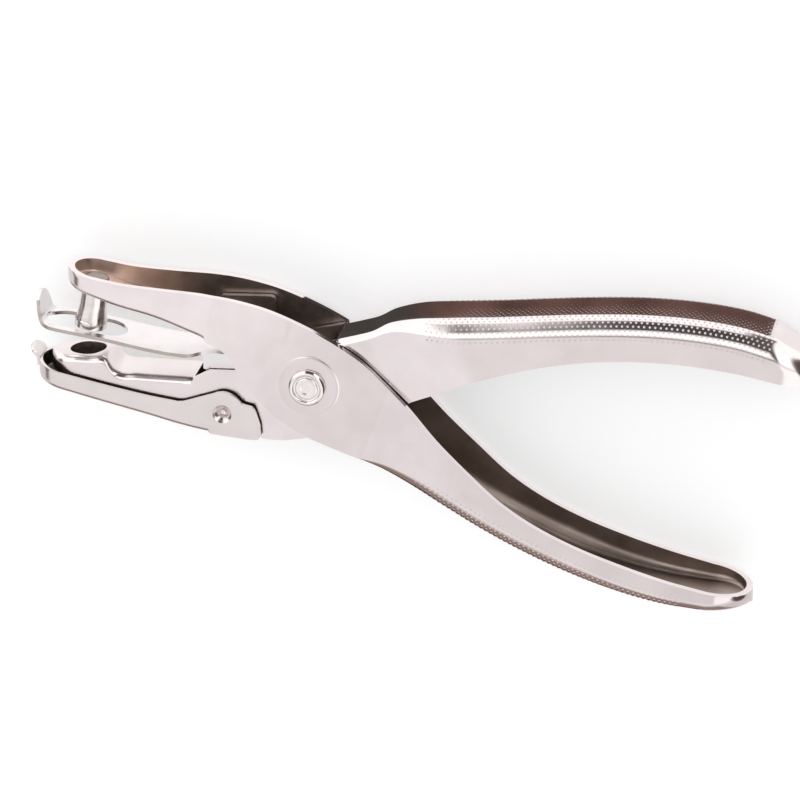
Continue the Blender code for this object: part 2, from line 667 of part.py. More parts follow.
def spring_path():
    """The wire's middle line: a leg to the lower handle's web, the coil, a leg to the upper handle's web."""
    lower_foot = Vector((17.9, -14.6))
    upper_foot = Vector((9.6, 7.0))
    half = BUSH_HALF_LENGTH - WIRE / 2

    def tangent(foot, side):
        return math.atan2(foot.y, foot.x) + side * math.acos(COIL_RADIUS / foot.length)

    # The wire leaves the lower leg clockwise and comes out at the top, towards the upper leg.
    start, end = tangent(lower_foot, -1), tangent(upper_foot, 1)
    sweep = -((start - end) % (2 * math.pi)) - 2 * math.pi * (COIL_TURNS - 1)
    steps = 22 * COIL_TURNS
    path = [Vector((*lower_foot, -half))]
    for step in range(steps + 1):
        angle = start + sweep * step / steps
        z = -half + 2 * half * step / steps
        path.append(Vector((COIL_RADIUS * math.cos(angle), COIL_RADIUS * math.sin(angle), z)))
    path.append(Vector((*upper_foot, half)))
    return path


def build_spring(steel, frame):
    path = spring_path()
    data = bpy.data.curves.new("return_spring", "CURVE")
    data.dimensions = "3D"
    data.bevel_depth = WIRE / 2 * MM
    data.bevel_resolution = 2
    data.use_fill_caps = True
    line = data.splines.new("POLY")
    line.points.add(len(path) - 1)
    for spot, place in zip(line.points, path):
        spot.co = (*(place * MM), 1.0)
    data.materials.append(steel)
    made = bpy.data.objects.new("return_spring", data)
    made.parent = frame
    bpy.context.scene.collection.objects.link(made)
    return made


def main():
    clear_scene()
    plate = metal("nickel_plate", (0.83, 0.81, 0.80), 0.12)
    bright = metal("nickel_plate_thin", (0.88, 0.87, 0.86), 0.16)
    turned_steel = metal("turned_steel", (0.70, 0.68, 0.66), 0.2)
    rivet_steel = metal("rivet_nickel", (0.80, 0.78, 0.77), 0.18)
    spring_steel = metal("spring_steel", (0.42, 0.40, 0.38), 0.3)
    outer_frame = empty("outer_frame", (0, 0, MID_HEIGHT))
    inner_frame = empty("handle_squeeze_axis", (0, 0, MID_HEIGHT))
    tray_frame = empty("tray_hinge_axis", (*TRAY_HINGE, 0), inner_frame)
    build_outer_lever(plate, outer_frame)
    build_pin(turned_steel, outer_frame)
    build_rivet(rivet_steel, outer_frame)
    build_bush(turned_steel, outer_frame)
    build_spring(spring_steel, outer_frame)
    build_inner_lever(plate, inner_frame)
    build_guide(bright, inner_frame)
    build_tray(bright, tray_frame)


main()
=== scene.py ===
"""The looks of a single-hole plier punch: polished nickel plate on stamped steel, lying on its side.

Lengths are in millimetres about the pivot's middle, as the levers' outlines are drawn, and MM turns them
into metres. +X runs to the handles, +Y to the upper handle and +Z along the pivot, towards the camera.
"""

import json
import math

import bmesh
import bpy
from mathutils import Matrix, Vector


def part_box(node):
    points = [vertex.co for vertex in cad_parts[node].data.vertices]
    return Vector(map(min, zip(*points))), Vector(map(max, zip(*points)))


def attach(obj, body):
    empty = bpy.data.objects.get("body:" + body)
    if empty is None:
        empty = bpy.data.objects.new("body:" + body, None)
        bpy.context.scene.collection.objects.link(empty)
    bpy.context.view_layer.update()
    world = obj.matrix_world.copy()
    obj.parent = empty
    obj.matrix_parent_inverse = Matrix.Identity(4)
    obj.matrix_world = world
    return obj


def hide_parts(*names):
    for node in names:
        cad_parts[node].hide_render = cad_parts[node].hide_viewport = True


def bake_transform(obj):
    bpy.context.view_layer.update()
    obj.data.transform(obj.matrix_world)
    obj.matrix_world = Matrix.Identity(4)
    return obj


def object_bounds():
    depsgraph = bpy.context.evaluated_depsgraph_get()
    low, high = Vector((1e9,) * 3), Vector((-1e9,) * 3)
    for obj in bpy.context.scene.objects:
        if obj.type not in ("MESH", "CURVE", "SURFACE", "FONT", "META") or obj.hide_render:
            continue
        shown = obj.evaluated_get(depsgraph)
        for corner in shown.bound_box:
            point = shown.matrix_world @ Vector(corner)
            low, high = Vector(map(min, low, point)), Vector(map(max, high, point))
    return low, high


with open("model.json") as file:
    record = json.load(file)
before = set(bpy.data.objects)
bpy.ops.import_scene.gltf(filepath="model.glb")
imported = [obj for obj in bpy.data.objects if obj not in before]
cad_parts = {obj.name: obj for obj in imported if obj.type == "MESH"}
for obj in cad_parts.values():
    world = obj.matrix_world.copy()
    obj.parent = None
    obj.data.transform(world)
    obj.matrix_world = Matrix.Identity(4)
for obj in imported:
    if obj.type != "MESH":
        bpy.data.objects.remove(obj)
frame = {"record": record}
cad_low, cad_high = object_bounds()

MM = 0.001


# ---- sizes read from the frame ----
def joint(name):
    return next(j for j in frame["record"]["behaviour"]["joints"] if j["name"] == name)


def node_box(name):
    low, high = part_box(name)
    return [Vector(corner) / MM - PIVOT for corner in (low, high)]


PIVOT = Vector(joint("handle_squeeze")["pos_m"]) / MM
TO_METRES = Matrix.Scale(MM, 4) @ Matrix.Translation(PIVOT)
Z_TO_Y = Matrix.Rotation(math.radians(-90), 4, "X")
TRAY_HINGE = (Vector(joint("tray_hinge")["pos_m"]) / MM - PIVOT).to_2d()
DOT_ROOM = 0.12
HANDLE_HALF_WIDTH = node_box("upper_jaw_lever")[1].z - DOT_ROOM
RIVET_FACE = node_box("pivot_rivet")[1].z
RIVET_HEAD_RADIUS = node_box("pivot_rivet")[1].x
TRAY_HALF_WIDTH = node_box("chip_tray")[1].z
GUIDE_HALF_WIDTH = node_box("stripper_plate")[1].z
PUNCH_RADIUS = node_box("punch_pin")[1].z
BUSH_RADIUS = node_box("spring_bush")[1].x
BUSH_HALF_LENGTH = node_box("spring_bush")[1].z

SHEET = 1.1
TRAY_SHEET = 0.6
GUIDE_SHEET = 0.6
CLEARANCE = 0.3
OUTER_CHEEK = 6.1
INNER_CHEEK = 4.7
SHANK_RADIUS = 2.0
RUNNING_FIT = 0.1
BORE_RADIUS = SHANK_RADIUS + RUNNING_FIT
WIRE = 1.1
COIL_TURNS = 3
NOSE_TAPER = 0.85
PIN_HOLE_RADIUS = 1.7
PIN_HOLE_HEIGHT = 7.6
DIMPLE_HOLE_RADIUS = 1.35
DRILL_REACH = 4
DIE_RADIUS = 3.0
DIE_DISTANCE = 38.0
DIE_LEVEL = 2.1
LIFT = math.radians(6.0)
WEB_STOP = -17.0
LOWER_BEND = 1.2
HANDLE_BEND = 3.4
FLAT_BEND = 0.0
ARC_STEPS = 10
WEB_STEPS = 6
WALL_STEPS = 3
END_STEPS = 14
PITCH = 0.9
ROW_GAP = 0.72
FIRST_ROW = 0.25
ROWS = 13
DOT_RADIUS = 0.2
DOT_HEIGHT = 0.09
WEB_DOT_HEIGHT = 0.022
KEY_STEPS = 6
ROUND = 72
EDGE_ROUNDING = 0.18
TOUCH = 0.002


# The studio's bands, as (degrees about X from +Z towards +Y, brightness), and its cards, as (from and to in
# the same degrees, softness, from and to in X, colour). The world's strength multiplies a card's colour.
BANDS = [
    (-180, 1.1),
    (-165, 0.92),
    (-110, 0.95),
    (-80, 0.9),
    (-62, 1.1),
    (-46, 1.2),
    (-36, 1.07),
    (-8, 1.07),
    (4, 1.12),
    (12, 1.8),
    (90, 1.6),
    (146, 1.6),
    (158, 1.28),
    (180, 1.1),
]
CARDS = [
    (40, 96, 5, -0.26, 0.32, (0.04, 0.04, 0.04)),
    (2, 10, 4, -0.19, 0.32, (0.10, 0.09, 0.09)),
    (10, 130, 6, 0.22, 0.4, (0.05, 0.045, 0.04)),
    (-50, -4, 6, 0.25, 1.0, (0.80, 0.79, 0.785)),
    (-50, -4, 6, -1.0, -0.165, (0.58, 0.58, 0.585)),
    (-120, -68, 12, -0.7, 0.35, (0.20, 0.145, 0.125)),
    (-170, 170, 4, 0.80, 1.0, (0.06, 0.045, 0.04)),
    (-100, 60, 8, -1.0, -0.9, (0.08, 0.06, 0.05)),
]
CARD_EDGE = 0.03
BAND_TINT = (1.0, 0.985, 0.975)
WORLD_STRENGTH = 2.0
DOME_COLOUR = (0.53, 0.53, 0.53, 1.0)
MIX_FACTOR, MIX_A, MIX_B, MIX_RESULT = 0, 6, 7, 2

# The dark cards along the handles: their tone where they start and beyond, from which X to which it changes
# (in metres), and how far before their first station they start, and how much further from the web.
FLAG_COLOUR = (0.15, 0.088, 0.074)
FLAG_START = (0.075, 0.068, 0.058)
FLAG_CHANGE = (0.012, 0.02)
FLAG_LEAD = 6
FLAG_LEAD_GAP = 1

FLOOR_SIZE = 3.0
FLOOR_DROP = 0.0002
FLOOR_GLOW = 0.45

PICTURE_SIDE = 800
PIXELS_PER_MM = 6.1
CAMERA_DISTANCE = 700.0
SENSOR_WIDTH = 36.0


# ---- materials ----
class Nodes:
    """A short way to wire a material's nodes."""

    def __init__(self, material):
        material.use_nodes = True
        self.tree = material.node_tree
        self.shader = self.tree.nodes["Principled BSDF"]
        self.place = self.tree.nodes.new("ShaderNodeTexCoord").outputs["Object"]

    def add(self, kind, **values):
        made = self.tree.nodes.new(kind)
        for name, value in values.items():
            if name in made.bl_rna.properties:
                setattr(made, name, value)
            else:
                made.inputs[name].default_value = value
        return made

    def link(self, output, socket):
        self.tree.links.new(output, socket)

    def noise(self, scale, detail=3.0, stretch=None):
        """Noise with its scale in waves for each metre, stretched by a factor along each axis."""
        made = self.add("ShaderNodeTexNoise", Scale=scale, Detail=detail)
        place = self.place
        if stretch:
            mapping = self.add("ShaderNodeMapping", Scale=stretch)
            self.link(place, mapping.inputs["Vector"])
            place = mapping.outputs["Vector"]
        self.link(place, made.inputs["Vector"])
        return made.outputs["Fac"]

    def spread(self, value, low, high, start=0.35, end=0.65):
        made = self.add("ShaderNodeMapRange")
        made.inputs["From Min"].default_value = start
        made.inputs["From Max"].default_value = end
        made.inputs["To Min"].default_value = low
        made.inputs["To Max"].default_value = high
        self.link(value, made.inputs["Value"])
        return made.outputs["Result"]

    def blend(self, share, dark, light):
        made = self.add("ShaderNodeMix", data_type="RGBA")
        self.link(share, made.inputs["Factor"])
        made.inputs["A"].default_value = (*dark, 1.0)
        made.inputs["B"].default_value = (*light, 1.0)
        return made.outputs["Result"]

    def bump(self, height, strength, distance, below=None):
        made = self.add("ShaderNodeBump", Strength=strength, Distance=distance)
        self.link(height, made.inputs["Height"])
        if below:
            self.link(below, made.inputs["Normal"])
        return made.outputs["Normal"]


def metal(name):
    material = bpy.data.materials.new(name)
    n = Nodes(material)
    n.shader.inputs["Metallic"].default_value = 1.0
    return material, n


def plated(name, dark, light, roughness, grain=0.02, scratch=0.05, satin=0.0, painted_lightening=None):
    """Polished plate: slow colour drift, satin patches, fine scratches and a hint of orange peel. The jaws,
    which no hand polishes, are rougher by satin. Where it is asked for, painted light makes the colour
    lighter by a factor, which grows from one distance to another up and forward of the pivot."""
    material, n = metal(name)
    drift = n.noise(180.0, 4.0)
    colour = n.blend(n.spread(drift, 0.0, 1.0, 0.3, 0.7), dark, light)
    # Painted light: the colour is painted lighter by a factor up and forward of the pivot.
    if painted_lightening:
        factor, start, end = painted_lightening
        forward = n.add("ShaderNodeVectorMath", operation="DOT_PRODUCT")
        n.link(n.place, forward.inputs[0])
        forward.inputs[1].default_value = (-1, 1, 0)
        scaled = n.add("ShaderNodeVectorMath", operation="SCALE")
        n.link(colour, scaled.inputs["Vector"])
        n.link(n.spread(forward.outputs["Value"], 1.0, factor, start, end), scaled.inputs["Scale"])
        colour = scaled.outputs["Vector"]
    n.link(colour, n.shader.inputs["Base Color"])
    patches = n.noise(420.0, 5.0)
    rough = n.spread(patches, roughness[0], roughness[1], 0.3, 0.7)
    if satin:
        split = n.add("ShaderNodeSeparateXYZ")
        n.link(n.place, split.inputs["Vector"])
        jaws = n.spread(split.outputs["X"], satin, 0.0, *JAWS_SPAN)
        total = n.add("ShaderNodeMath", operation="ADD")
        n.link(rough, total.inputs[0])
        n.link(jaws, total.inputs[1])
        rough = total.outputs[0]
    n.link(rough, n.shader.inputs["Roughness"])
    scratches = n.noise(900.0, 2.0, (0.12, 2.6, 1.4))
    peel = n.noise(1400.0, 2.0)
    lines = n.bump(scratches, scratch, 0.00004)
    n.link(n.bump(peel, grain, 0.00008, lines), n.shader.inputs["Normal"])
    return material


def drawn_wire(name, dark, light):
    material, n = metal(name)
    drift = n.noise(700.0, 4.0)
    n.link(n.blend(n.spread(drift, 0.0, 1.0), dark, light), n.shader.inputs["Base Color"])
    n.link(n.spread(n.noise(1500.0), 0.22, 0.38), n.shader.inputs["Roughness"])
    n.link(n.bump(n.noise(2600.0, 2.0), 0.12, 0.00005), n.shader.inputs["Normal"])
    return material


def turned_finish(name, dark, light, axis_scale):
    """Lathe rings: noise squeezed along the turning axis."""
    material, n = metal(name)
    rings = n.noise(900.0, 3.0, axis_scale)
    n.link(n.blend(n.spread(rings, 0.0, 1.0), dark, light), n.shader.inputs["Base Color"])
    n.link(n.spread(rings, 0.1, 0.24), n.shader.inputs["Roughness"])
    n.link(n.bump(rings, 0.12, 0.00006), n.shader.inputs["Normal"])
    return material


# The X where the satin is full and where it ends, in metres, then the factors of painted lightening, each
# with the distances where it starts and where it is full.
JAWS_SPAN = (-0.016, -0.002)
FORWARD_PAINTED_LIGHT = (1.15, 0.0, 0.024)
DEEP_PAINTED_LIGHT = (2.5, 0.030, 0.047)
POLISHED = (0.12, 0.17)
SATIN = 0.07
PLATE_TONES = ((0.615, 0.552, 0.555), (0.665, 0.602, 0.605))
INNER_TONES = ((0.665, 0.60, 0.605), (0.71, 0.645, 0.65))
# Painted light: the outer lever's plate is painted lighter up and forward of the pivot, towards its jaws.
PLATE = plated("nickel_plate", *PLATE_TONES, POLISHED, satin=SATIN, painted_lightening=FORWARD_PAINTED_LIGHT)
# Painted light: the inner lever's plate is a copy of the outer lever's nickel, painted a little lighter.
INNER_PLATE_PAINTED_LIGHTER = plated("nickel_plate_inner_painted_lighter", *INNER_TONES, POLISHED, satin=SATIN)
# Painted shade: the channels' inner faces are a dark brown copy of the plate, and painted lighter again far
# up and forward of the pivot, towards the noses.
PLATE_INSIDE_PAINTED_SHADE = plated("nickel_plate_inside_painted_shade", (0.25, 0.20, 0.175), (0.36, 0.30, 0.27), (0.3, 0.4), painted_lightening=DEEP_PAINTED_LIGHT)
# Painted shade: the tray's inner faces are painted a dark brown.
TRAY_INSIDE_PAINTED_SHADE = plated("nickel_plate_tray_inside_painted_shade", (0.16, 0.135, 0.125), (0.24, 0.21, 0.2), (0.25, 0.35))
THIN_PLATE = plated("nickel_plate_thin", (0.62, 0.57, 0.56), (0.67, 0.62, 0.61), (0.18, 0.26))
GUIDE_PLATE = plated("nickel_plate_guide", (0.69, 0.66, 0.665), (0.74, 0.71, 0.715), (0.2, 0.28))
SHEARED_EDGE = plated("sheared_edge", (0.36, 0.315, 0.29), (0.46, 0.41, 0.38), (0.35, 0.45), grain=0.06)
# Painted shade: the punch's headed end, inside the upper jaw's channel, is painted dark.
HEADED_END_PAINTED_SHADE = plated("headed_pin_end_painted_shade", (0.20, 0.16, 0.14), (0.29, 0.24, 0.215), (0.3, 0.4), grain=0.06)
RIVET_PLATE = plated("rivet_nickel", (0.70, 0.66, 0.655), (0.78, 0.74, 0.735), (0.1, 0.18), scratch=0.08)
TURNED = turned_finish("turned_steel", (0.62, 0.59, 0.575), (0.70, 0.67, 0.655), (0.05, 1.6, 0.05))
TURNED_BUSH = turned_finish("turned_bush_steel", (0.50, 0.47, 0.45), (0.66, 0.63, 0.60), (0.05, 0.05, 1.6))
WIRE_STEEL = drawn_wire("spring_wire", (0.30, 0.28, 0.26), (0.46, 0.44, 0.42))


# ---- mesh helpers ----
def new_object(mesh, name):
    """An object in the scene with the bmesh's shape. The bmesh is freed."""
    data = bpy.data.meshes.new(name)
    mesh.to_mesh(data)
    mesh.free()
    made = bpy.data.objects.new(name, data)
    bpy.context.scene.collection.objects.link(made)
    return made


def finished(name, mesh, materials, body, node=None, angle=40.0):
    """Makes the piece of a bmesh in millimetres about the pivot, rides it on its body, if it has one, and
    hides the part that it stands for, if it has one."""
    bmesh.ops.transform(mesh, matrix=TO_METRES, verts=mesh.verts)
    made = new_object(mesh, name)
    data = made.data
    for material in materials:
        data.materials.append(material)
    data.shade_smooth()
    data.set_sharp_from_angle(angle=math.radians(angle))
    even = made.modifiers.new("even", "WEIGHTED_NORMAL")
    even.keep_sharp = True
    graph = bpy.context.evaluated_depsgraph_get()
    graph.update()
    made.data = bpy.data.meshes.new_from_object(made.evaluated_get(graph), depsgraph=graph)
    made.data.name = name
    made.modifiers.clear()
    bpy.data.meshes.remove(data)
    if body:
        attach(made, body)
    if node:
        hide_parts(node)
    return made


def worked(mesh, cuts=(), joins=(), rounding=EDGE_ROUNDING, materials=2, angle=40.0):
    """The bmesh after Boolean cuts and joins, with its sharp edges rounded."""
    base = new_object(mesh, "base")
    for _ in range(materials):
        base.data.materials.append(None)
    tools = []
    for operation, shapes in (("UNION", joins), ("DIFFERENCE", cuts)):
        for shape in shapes:
            tool = new_object(shape, "tool")
            step = base.modifiers.new("work", "BOOLEAN")
            step.operation = operation
            step.solver = "MANIFOLD"
            step.object = tool
            tools.append(tool)
    if rounding:
        edge = base.modifiers.new("edge", "BEVEL")
        edge.width = rounding
        edge.segments = 3
        edge.limit_method = "ANGLE"
        edge.angle_limit = math.radians(angle)
        edge.use_clamp_overlap = True
        edge.miter_outer = "MITER_ARC"
    graph = bpy.context.evaluated_depsgraph_get()
    graph.update()
    made = bmesh.new()
    made.from_mesh(base.evaluated_get(graph).to_mesh())
    for old in [base, *tools]:
        data = old.data
        bpy.data.objects.remove(old)
        bpy.data.meshes.remove(data)
    return made


def cleaned(mesh):
    bmesh.ops.remove_doubles(mesh, verts=mesh.verts, dist=TOUCH)
    bmesh.ops.dissolve_degenerate(mesh, edges=mesh.edges, dist=TOUCH)
    loose = [vert for vert in mesh.verts if not vert.link_faces]
    bmesh.ops.delete(mesh, geom=loose, context="VERTS")
    bmesh.ops.recalc_face_normals(mesh, faces=mesh.faces)
    return mesh


def prism(outline, low, high):
    mesh = bmesh.new()
    face = mesh.faces.new([mesh.verts.new((p[0], p[1], low)) for p in outline])
    grown = bmesh.ops.extrude_face_region(mesh, geom=[face])
    moved = [item for item in grown["geom"] if isinstance(item, bmesh.types.BMVert)]
    bmesh.ops.translate(mesh, verts=moved, vec=(0, 0, high - low))
    return cleaned(mesh)


def joined_rings(mesh, rings):
    """The bmesh with faces from each ring of points to the next, and both ends closed."""
    count = len(rings[0])
    for one, other in zip(rings, rings[1:]):
        for i in range(count):
            j = (i + 1) % count
            mesh.faces.new((one[i], one[j], other[j], other[i]))
    mesh.faces.new(rings[0])
    mesh.faces.new(rings[-1])
    return cleaned(mesh)


def strip(line, sheet, shares, start=0.0):
    """A thin plate along a line of (x from the start, y, half width), with points at shares of that width."""
    mesh = bmesh.new()
    rings = []
    for i, (x, y, half) in enumerate(line):
        low, high = line[max(i - 1, 0)], line[min(i + 1, len(line) - 1)]
        run = Vector((high[0] - low[0], high[1] - low[1])).normalized()
        over = Vector((-run.y, run.x)) * sheet / 2
        corners = [(over, half * s) for s in shares] + [(-over, half * s) for s in reversed(shares)]
        rings.append([mesh.verts.new((x + start + o.x, y + o.y, z)) for o, z in corners])
    return joined_rings(mesh, rings)


def turned(profile, turn=None, sides=ROUND, closed=False):
    """A profile of (radius, height) points turned about Z. A closed one is a ring's whole section."""
    mesh = bmesh.new()
    rings = []
    for radius, height in profile:
        if radius == 0:
            rings.append([mesh.verts.new((0, 0, height))])
            continue
        angles = [2 * math.pi * i / sides for i in range(sides)]
        rings.append([mesh.verts.new((radius * math.cos(a), radius * math.sin(a), height)) for a in angles])
    following = rings[1:] + rings[:1] if closed else rings[1:]
    for one, other in zip(rings, following):
        for i in range(sides):
            j = (i + 1) % sides
            corners = [one[i % len(one)], one[j % len(one)], other[j % len(other)], other[i % len(other)]]
            mesh.faces.new(list(dict.fromkeys(corners)))
    if turn:
        bmesh.ops.transform(mesh, verts=mesh.verts, matrix=turn)
    return cleaned(mesh)


def peg(radius, low, high, centre=(0, 0)):
    return turned([(0, low), (radius, low), (radius, high), (0, high)], Matrix.Translation((*centre, 0)))


def drill(radius, place):
    """A round cutter about a place, along its Z."""
    return turned([(0, -DRILL_REACH), (radius, -DRILL_REACH), (radius, DRILL_REACH), (0, DRILL_REACH)], place)


def both_cheeks(radius, cheek, centre=(0, 0)):
    """A peg through the near cheek and one through the far cheek."""
    near = peg(radius, cheek - 2 * SHEET, cheek + SHEET, centre)
    far = peg(radius, -cheek - SHEET, 2 * SHEET - cheek, centre)
    return [near, far]


def rounded_profile(points, radius=0.15, steps=4):
    """A turned profile with its corners rounded, except at the axis."""
    made = [points[0]]
    for before, corner, after in zip(points, points[1:], points[2:]):
        a, b, c = Vector(before), Vector(corner), Vector(after)
        reach = min(radius, (b - a).length * 0.45, (c - b).length * 0.45)
        start, end = b + (a - b).normalized() * reach, b + (c - b).normalized() * reach
        for step in range(steps + 1):
            t = step / steps
            made.append(tuple(start * (1 - t) ** 2 + b * 2 * t * (1 - t) + end * t**2))
    return made + [points[-1]]


# ---- channel stampings ----
class Station:
    """One cross-section of a channel: where the web and the free edge are, half the width and the bend."""

    def __init__(self, web, edge, half, bend, open_web=False):
        self.web = Vector(web)
        self.edge = Vector(edge)
        self.half = half
        self.bend = bend
        self.open_web = open_web

    def values(self):
        return [*self.web, *self.edge, self.half, self.bend]

    @staticmethod
    def of(values, open_web):
        half = min(values[4], HANDLE_HALF_WIDTH)
        return Station(values[0:2], values[2:4], half, values[5], open_web)

    def middle(self):
        return (self.web + self.edge) / 2

    def towards(self, tip, share, half):
        return Station(self.web.lerp(tip[0], share), self.edge.lerp(tip[1], share), half, self.bend)


def webbed(half, bend, *ends):
    """Stations of one width and bend, from where the web and the free edge are."""
    return [Station(web, edge, half, bend) for web, edge in ends]


def webless(half, *ends):
    """Stations where the channel has walls only, from where the web would be and the free edge."""
    return [Station(web, edge, half, FLAT_BEND, True) for web, edge in ends]


def smooth(keys, steps=KEY_STEPS):
    """Stations on a smooth curve through the key stations, spaced by their distance."""
    rows = [key.values() for key in keys]
    at = [0.0]
    for one, other in zip(keys, keys[1:]):
        at.append(at[-1] + (other.middle() - one.middle()).length)
    slopes = []
    for i in range(len(rows)):
        low, high = max(i - 1, 0), min(i + 1, len(rows) - 1)
        slopes.append([(b - a) / (at[high] - at[low]) for a, b in zip(rows[low], rows[high])])
    made = [keys[0]]
    for i in range(len(rows) - 1):
        span = at[i + 1] - at[i]
        for step in range(1, steps + 1):
            t = step / steps
            start, start_slope = 2 * t**3 - 3 * t**2 + 1, (t**3 - 2 * t**2 + t) * span
            end, end_slope = 3 * t**2 - 2 * t**3, (t**3 - t**2) * span
            values = [
                start * a + start_slope * da + end * b + end_slope * db
                for a, da, b, db in zip(rows[i], slopes[i], rows[i + 1], slopes[i + 1])
            ]
            both_open = keys[i].open_web and keys[i + 1].open_web
            made.append(Station.of(values, both_open or (step == steps and keys[i + 1].open_web)))
    return made


def inset_stations(stations, inset, front, rear):
    """The stations moved in by a wall's thickness, with the round ends that front and rear tips ask for."""
    moved = []
    for i, station in enumerate(stations):
        low, high = stations[max(i - 1, 0)].web, stations[min(i + 1, len(stations) - 1)].web
        run = (high - low).normalized()
        up = (station.web - station.edge).normalized()
        square = max(abs(up.x * run.y - up.y * run.x), 0.6)
        drop = 0.0 if station.open_web else inset / square
        bend = station.bend if station.open_web else max(station.bend - inset, 0.12)
        web = station.web - up * drop
        moved.append(Station(web, station.edge, station.half - inset, bend, station.open_web))
    for tip, at_front in ((front, True), (rear, False)):
        if tip:
            base = moved[0] if at_front else moved[-1]
            outer = stations[0] if at_front else stations[-1]
            length = ((tip[0] + tip[1]) / 2 - outer.middle()).length
            shift = base.web - outer.web
            inner_tip = (tip[0] + shift, tip[1])
            reach = (length - inset) / length
            cap = []
            for step in range(1, END_STEPS + 1):
                angle = math.radians(90) * step / END_STEPS
                half = 0.0 if step == END_STEPS else base.half * math.cos(angle)
                cap.append(base.towards(inner_tip, reach * math.sin(angle), half))
            moved = cap[::-1] + moved if at_front else moved + cap
    return moved


def across(station):
    """Points from the near free edge round the web to the far one."""
    up = (station.web - station.edge).normalized()
    depth = (station.web - station.edge).length
    bend = min(station.bend, station.half * 0.98, depth * 0.9)
    near = [(station.edge + up * (depth - bend) * k / WALL_STEPS, station.half) for k in range(WALL_STEPS)]
    for step in range(ARC_STEPS + 1):
        angle = math.radians(90) * step / ARC_STEPS
        rise = depth - bend + bend * math.sin(angle)
        near.append((station.edge + up * rise, station.half - bend + bend * math.cos(angle)))
    flat = station.half - bend
    web = [(station.web, flat * (1 - 2 * k / WEB_STEPS)) for k in range(1, WEB_STEPS)]
    far = [(p, -z) for p, z in reversed(near)]
    return [Vector((p.x, p.y, z)) for p, z in near + web + far]


def stamping(stations, sheet, front=None, rear=None):
    """A bent channel of even thickness: outer and inner skins and the cut edges between them."""
    outer = inset_stations(stations, 0.0, front, rear)
    inner = inset_stations(stations, sheet, front, rear)
    mesh = bmesh.new()
    skins = [[[mesh.verts.new(p) for p in across(s)] for s in skin] for skin in (outer, inner)]
    rows, columns = len(outer) - 1, len(skins[0][0]) - 1

    def kept(i, j):
        if not (0 <= i < rows and 0 <= j < columns):
            return False
        wall = j < WALL_STEPS or j >= columns - WALL_STEPS
        return wall or not (outer[i].open_web and outer[i + 1].open_web)

    def face(corners, material):
        corners = list(dict.fromkeys(corners))
        if len(corners) > 2:
            mesh.faces.new(corners).material_index = material

    sides = (
        ((0, 0), (0, 1), (-1, 0)),
        ((1, 0), (1, 1), (1, 0)),
        ((0, 0), (1, 0), (0, -1)),
        ((0, 1), (1, 1), (0, 1)),
    )
    for i in range(rows):
        for j in range(columns):
            if not kept(i, j):
                continue
            for skin, material in ((skins[0], 0), (skins[1], 1)):
                face([skin[i][j], skin[i + 1][j], skin[i + 1][j + 1], skin[i][j + 1]], material)
            for start, end, step in sides:
                if kept(i + step[0], j + step[1]):
                    continue
                if (i + step[0] < 0 and front) or (i + step[0] >= rows and rear):
                    continue
                ends = [(i + c[0], j + c[1]) for c in (start, end)]
                outside, inside = [[skin[row][column] for row, column in ends] for skin in skins]
                face(outside + inside[::-1], 0)
    return cleaned(mesh)


# ---- outer lever ----
def outer_stations():
    cheek, handle = OUTER_CHEEK, HANDLE_HALF_WIDTH
    nose = cheek - NOSE_TAPER
    return smooth(
        [
            Station((-36.4, 12.8), (-36.0, 16.1), nose, LOWER_BEND),
            Station((-31.7, 11.3), (-31.0, 15.3), nose + 0.1, LOWER_BEND),
            Station((-25.7, 9.9), (-24.6, 14.9), nose + 0.3, LOWER_BEND),
            Station((-19.8, 7.9), (-18.2, 14.65), cheek - 0.2, LOWER_BEND),
            Station((WEB_STOP - 0.4, 6.95), (-15.5, 14.4), cheek, LOWER_BEND),
            *webless(
                cheek,
                ((WEB_STOP, 6.8), (-15.1, 14.37)),
                ((-14.4, 5.4), (-12.4, 14.0)),
                ((-12.9, 3.9), (-9.9, 13.5)),
                ((-11.4, 1.3), (-7.3, 12.85)),
                ((-9.5, -1.4), (-4.5, 11.9)),
                ((-6.8, -4.4), (-1.5, 10.65)),
                ((-3.7, -6.8), (2.0, 9.0)),
                ((-0.2, -8.8), (5.3, 7.15)),
                ((4.1, -10.5), (9.2, 4.5)),
                ((8.4, -12.0), (13.1, 0.8)),
            ),
            Station((8.9, -12.2), (13.5, 0.4), cheek, 0.3),
            Station((12.4, -14.2), (16.8, -3.0), cheek + 0.2, 2.2),
            Station((17.0, -16.9), (21.2, -8.0), cheek + 0.7, HANDLE_BEND),
            *webbed(
                handle,
                HANDLE_BEND,
                ((22.2, -19.9), (26.5, -13.2)),
                ((28.0, -23.3), (31.8, -18.0)),
                ((34.6, -26.7), (37.6, -21.8)),
                ((42.2, -30.0), (44.3, -25.0)),
            ),
            Station((50.2, -32.6), (51.5, -27.6), handle, 3.0),
            Station((58.0, -34.3), (58.8, -29.8), handle, 2.6),
            Station((65.5, -35.1), (66.0, -31.5), handle - 0.2, 2.2),
        ],
        5,
    )


OUTER_NOSE = (Vector((-40.9, 14.1)), Vector((-40.9, 17.1)))
OUTER_END = (Vector((73.0, -35.0)), Vector((73.0, -32.6)))


def pin_frame(height):
    """Where the punch stands at rest, with Z along it, measured up from its cutting end."""
    angle = math.atan2(DIE_LEVEL, DIE_DISTANCE) + LIFT
    reach = math.hypot(DIE_DISTANCE, DIE_LEVEL)
    tip = Vector((-reach * math.cos(angle), reach * math.sin(angle), 0))
    turn = Matrix.Rotation(-angle, 4, "Z") @ Z_TO_Y
    up = Vector((math.sin(angle), math.cos(angle), 0))
    return Matrix.Translation(tip + up * height) @ turn


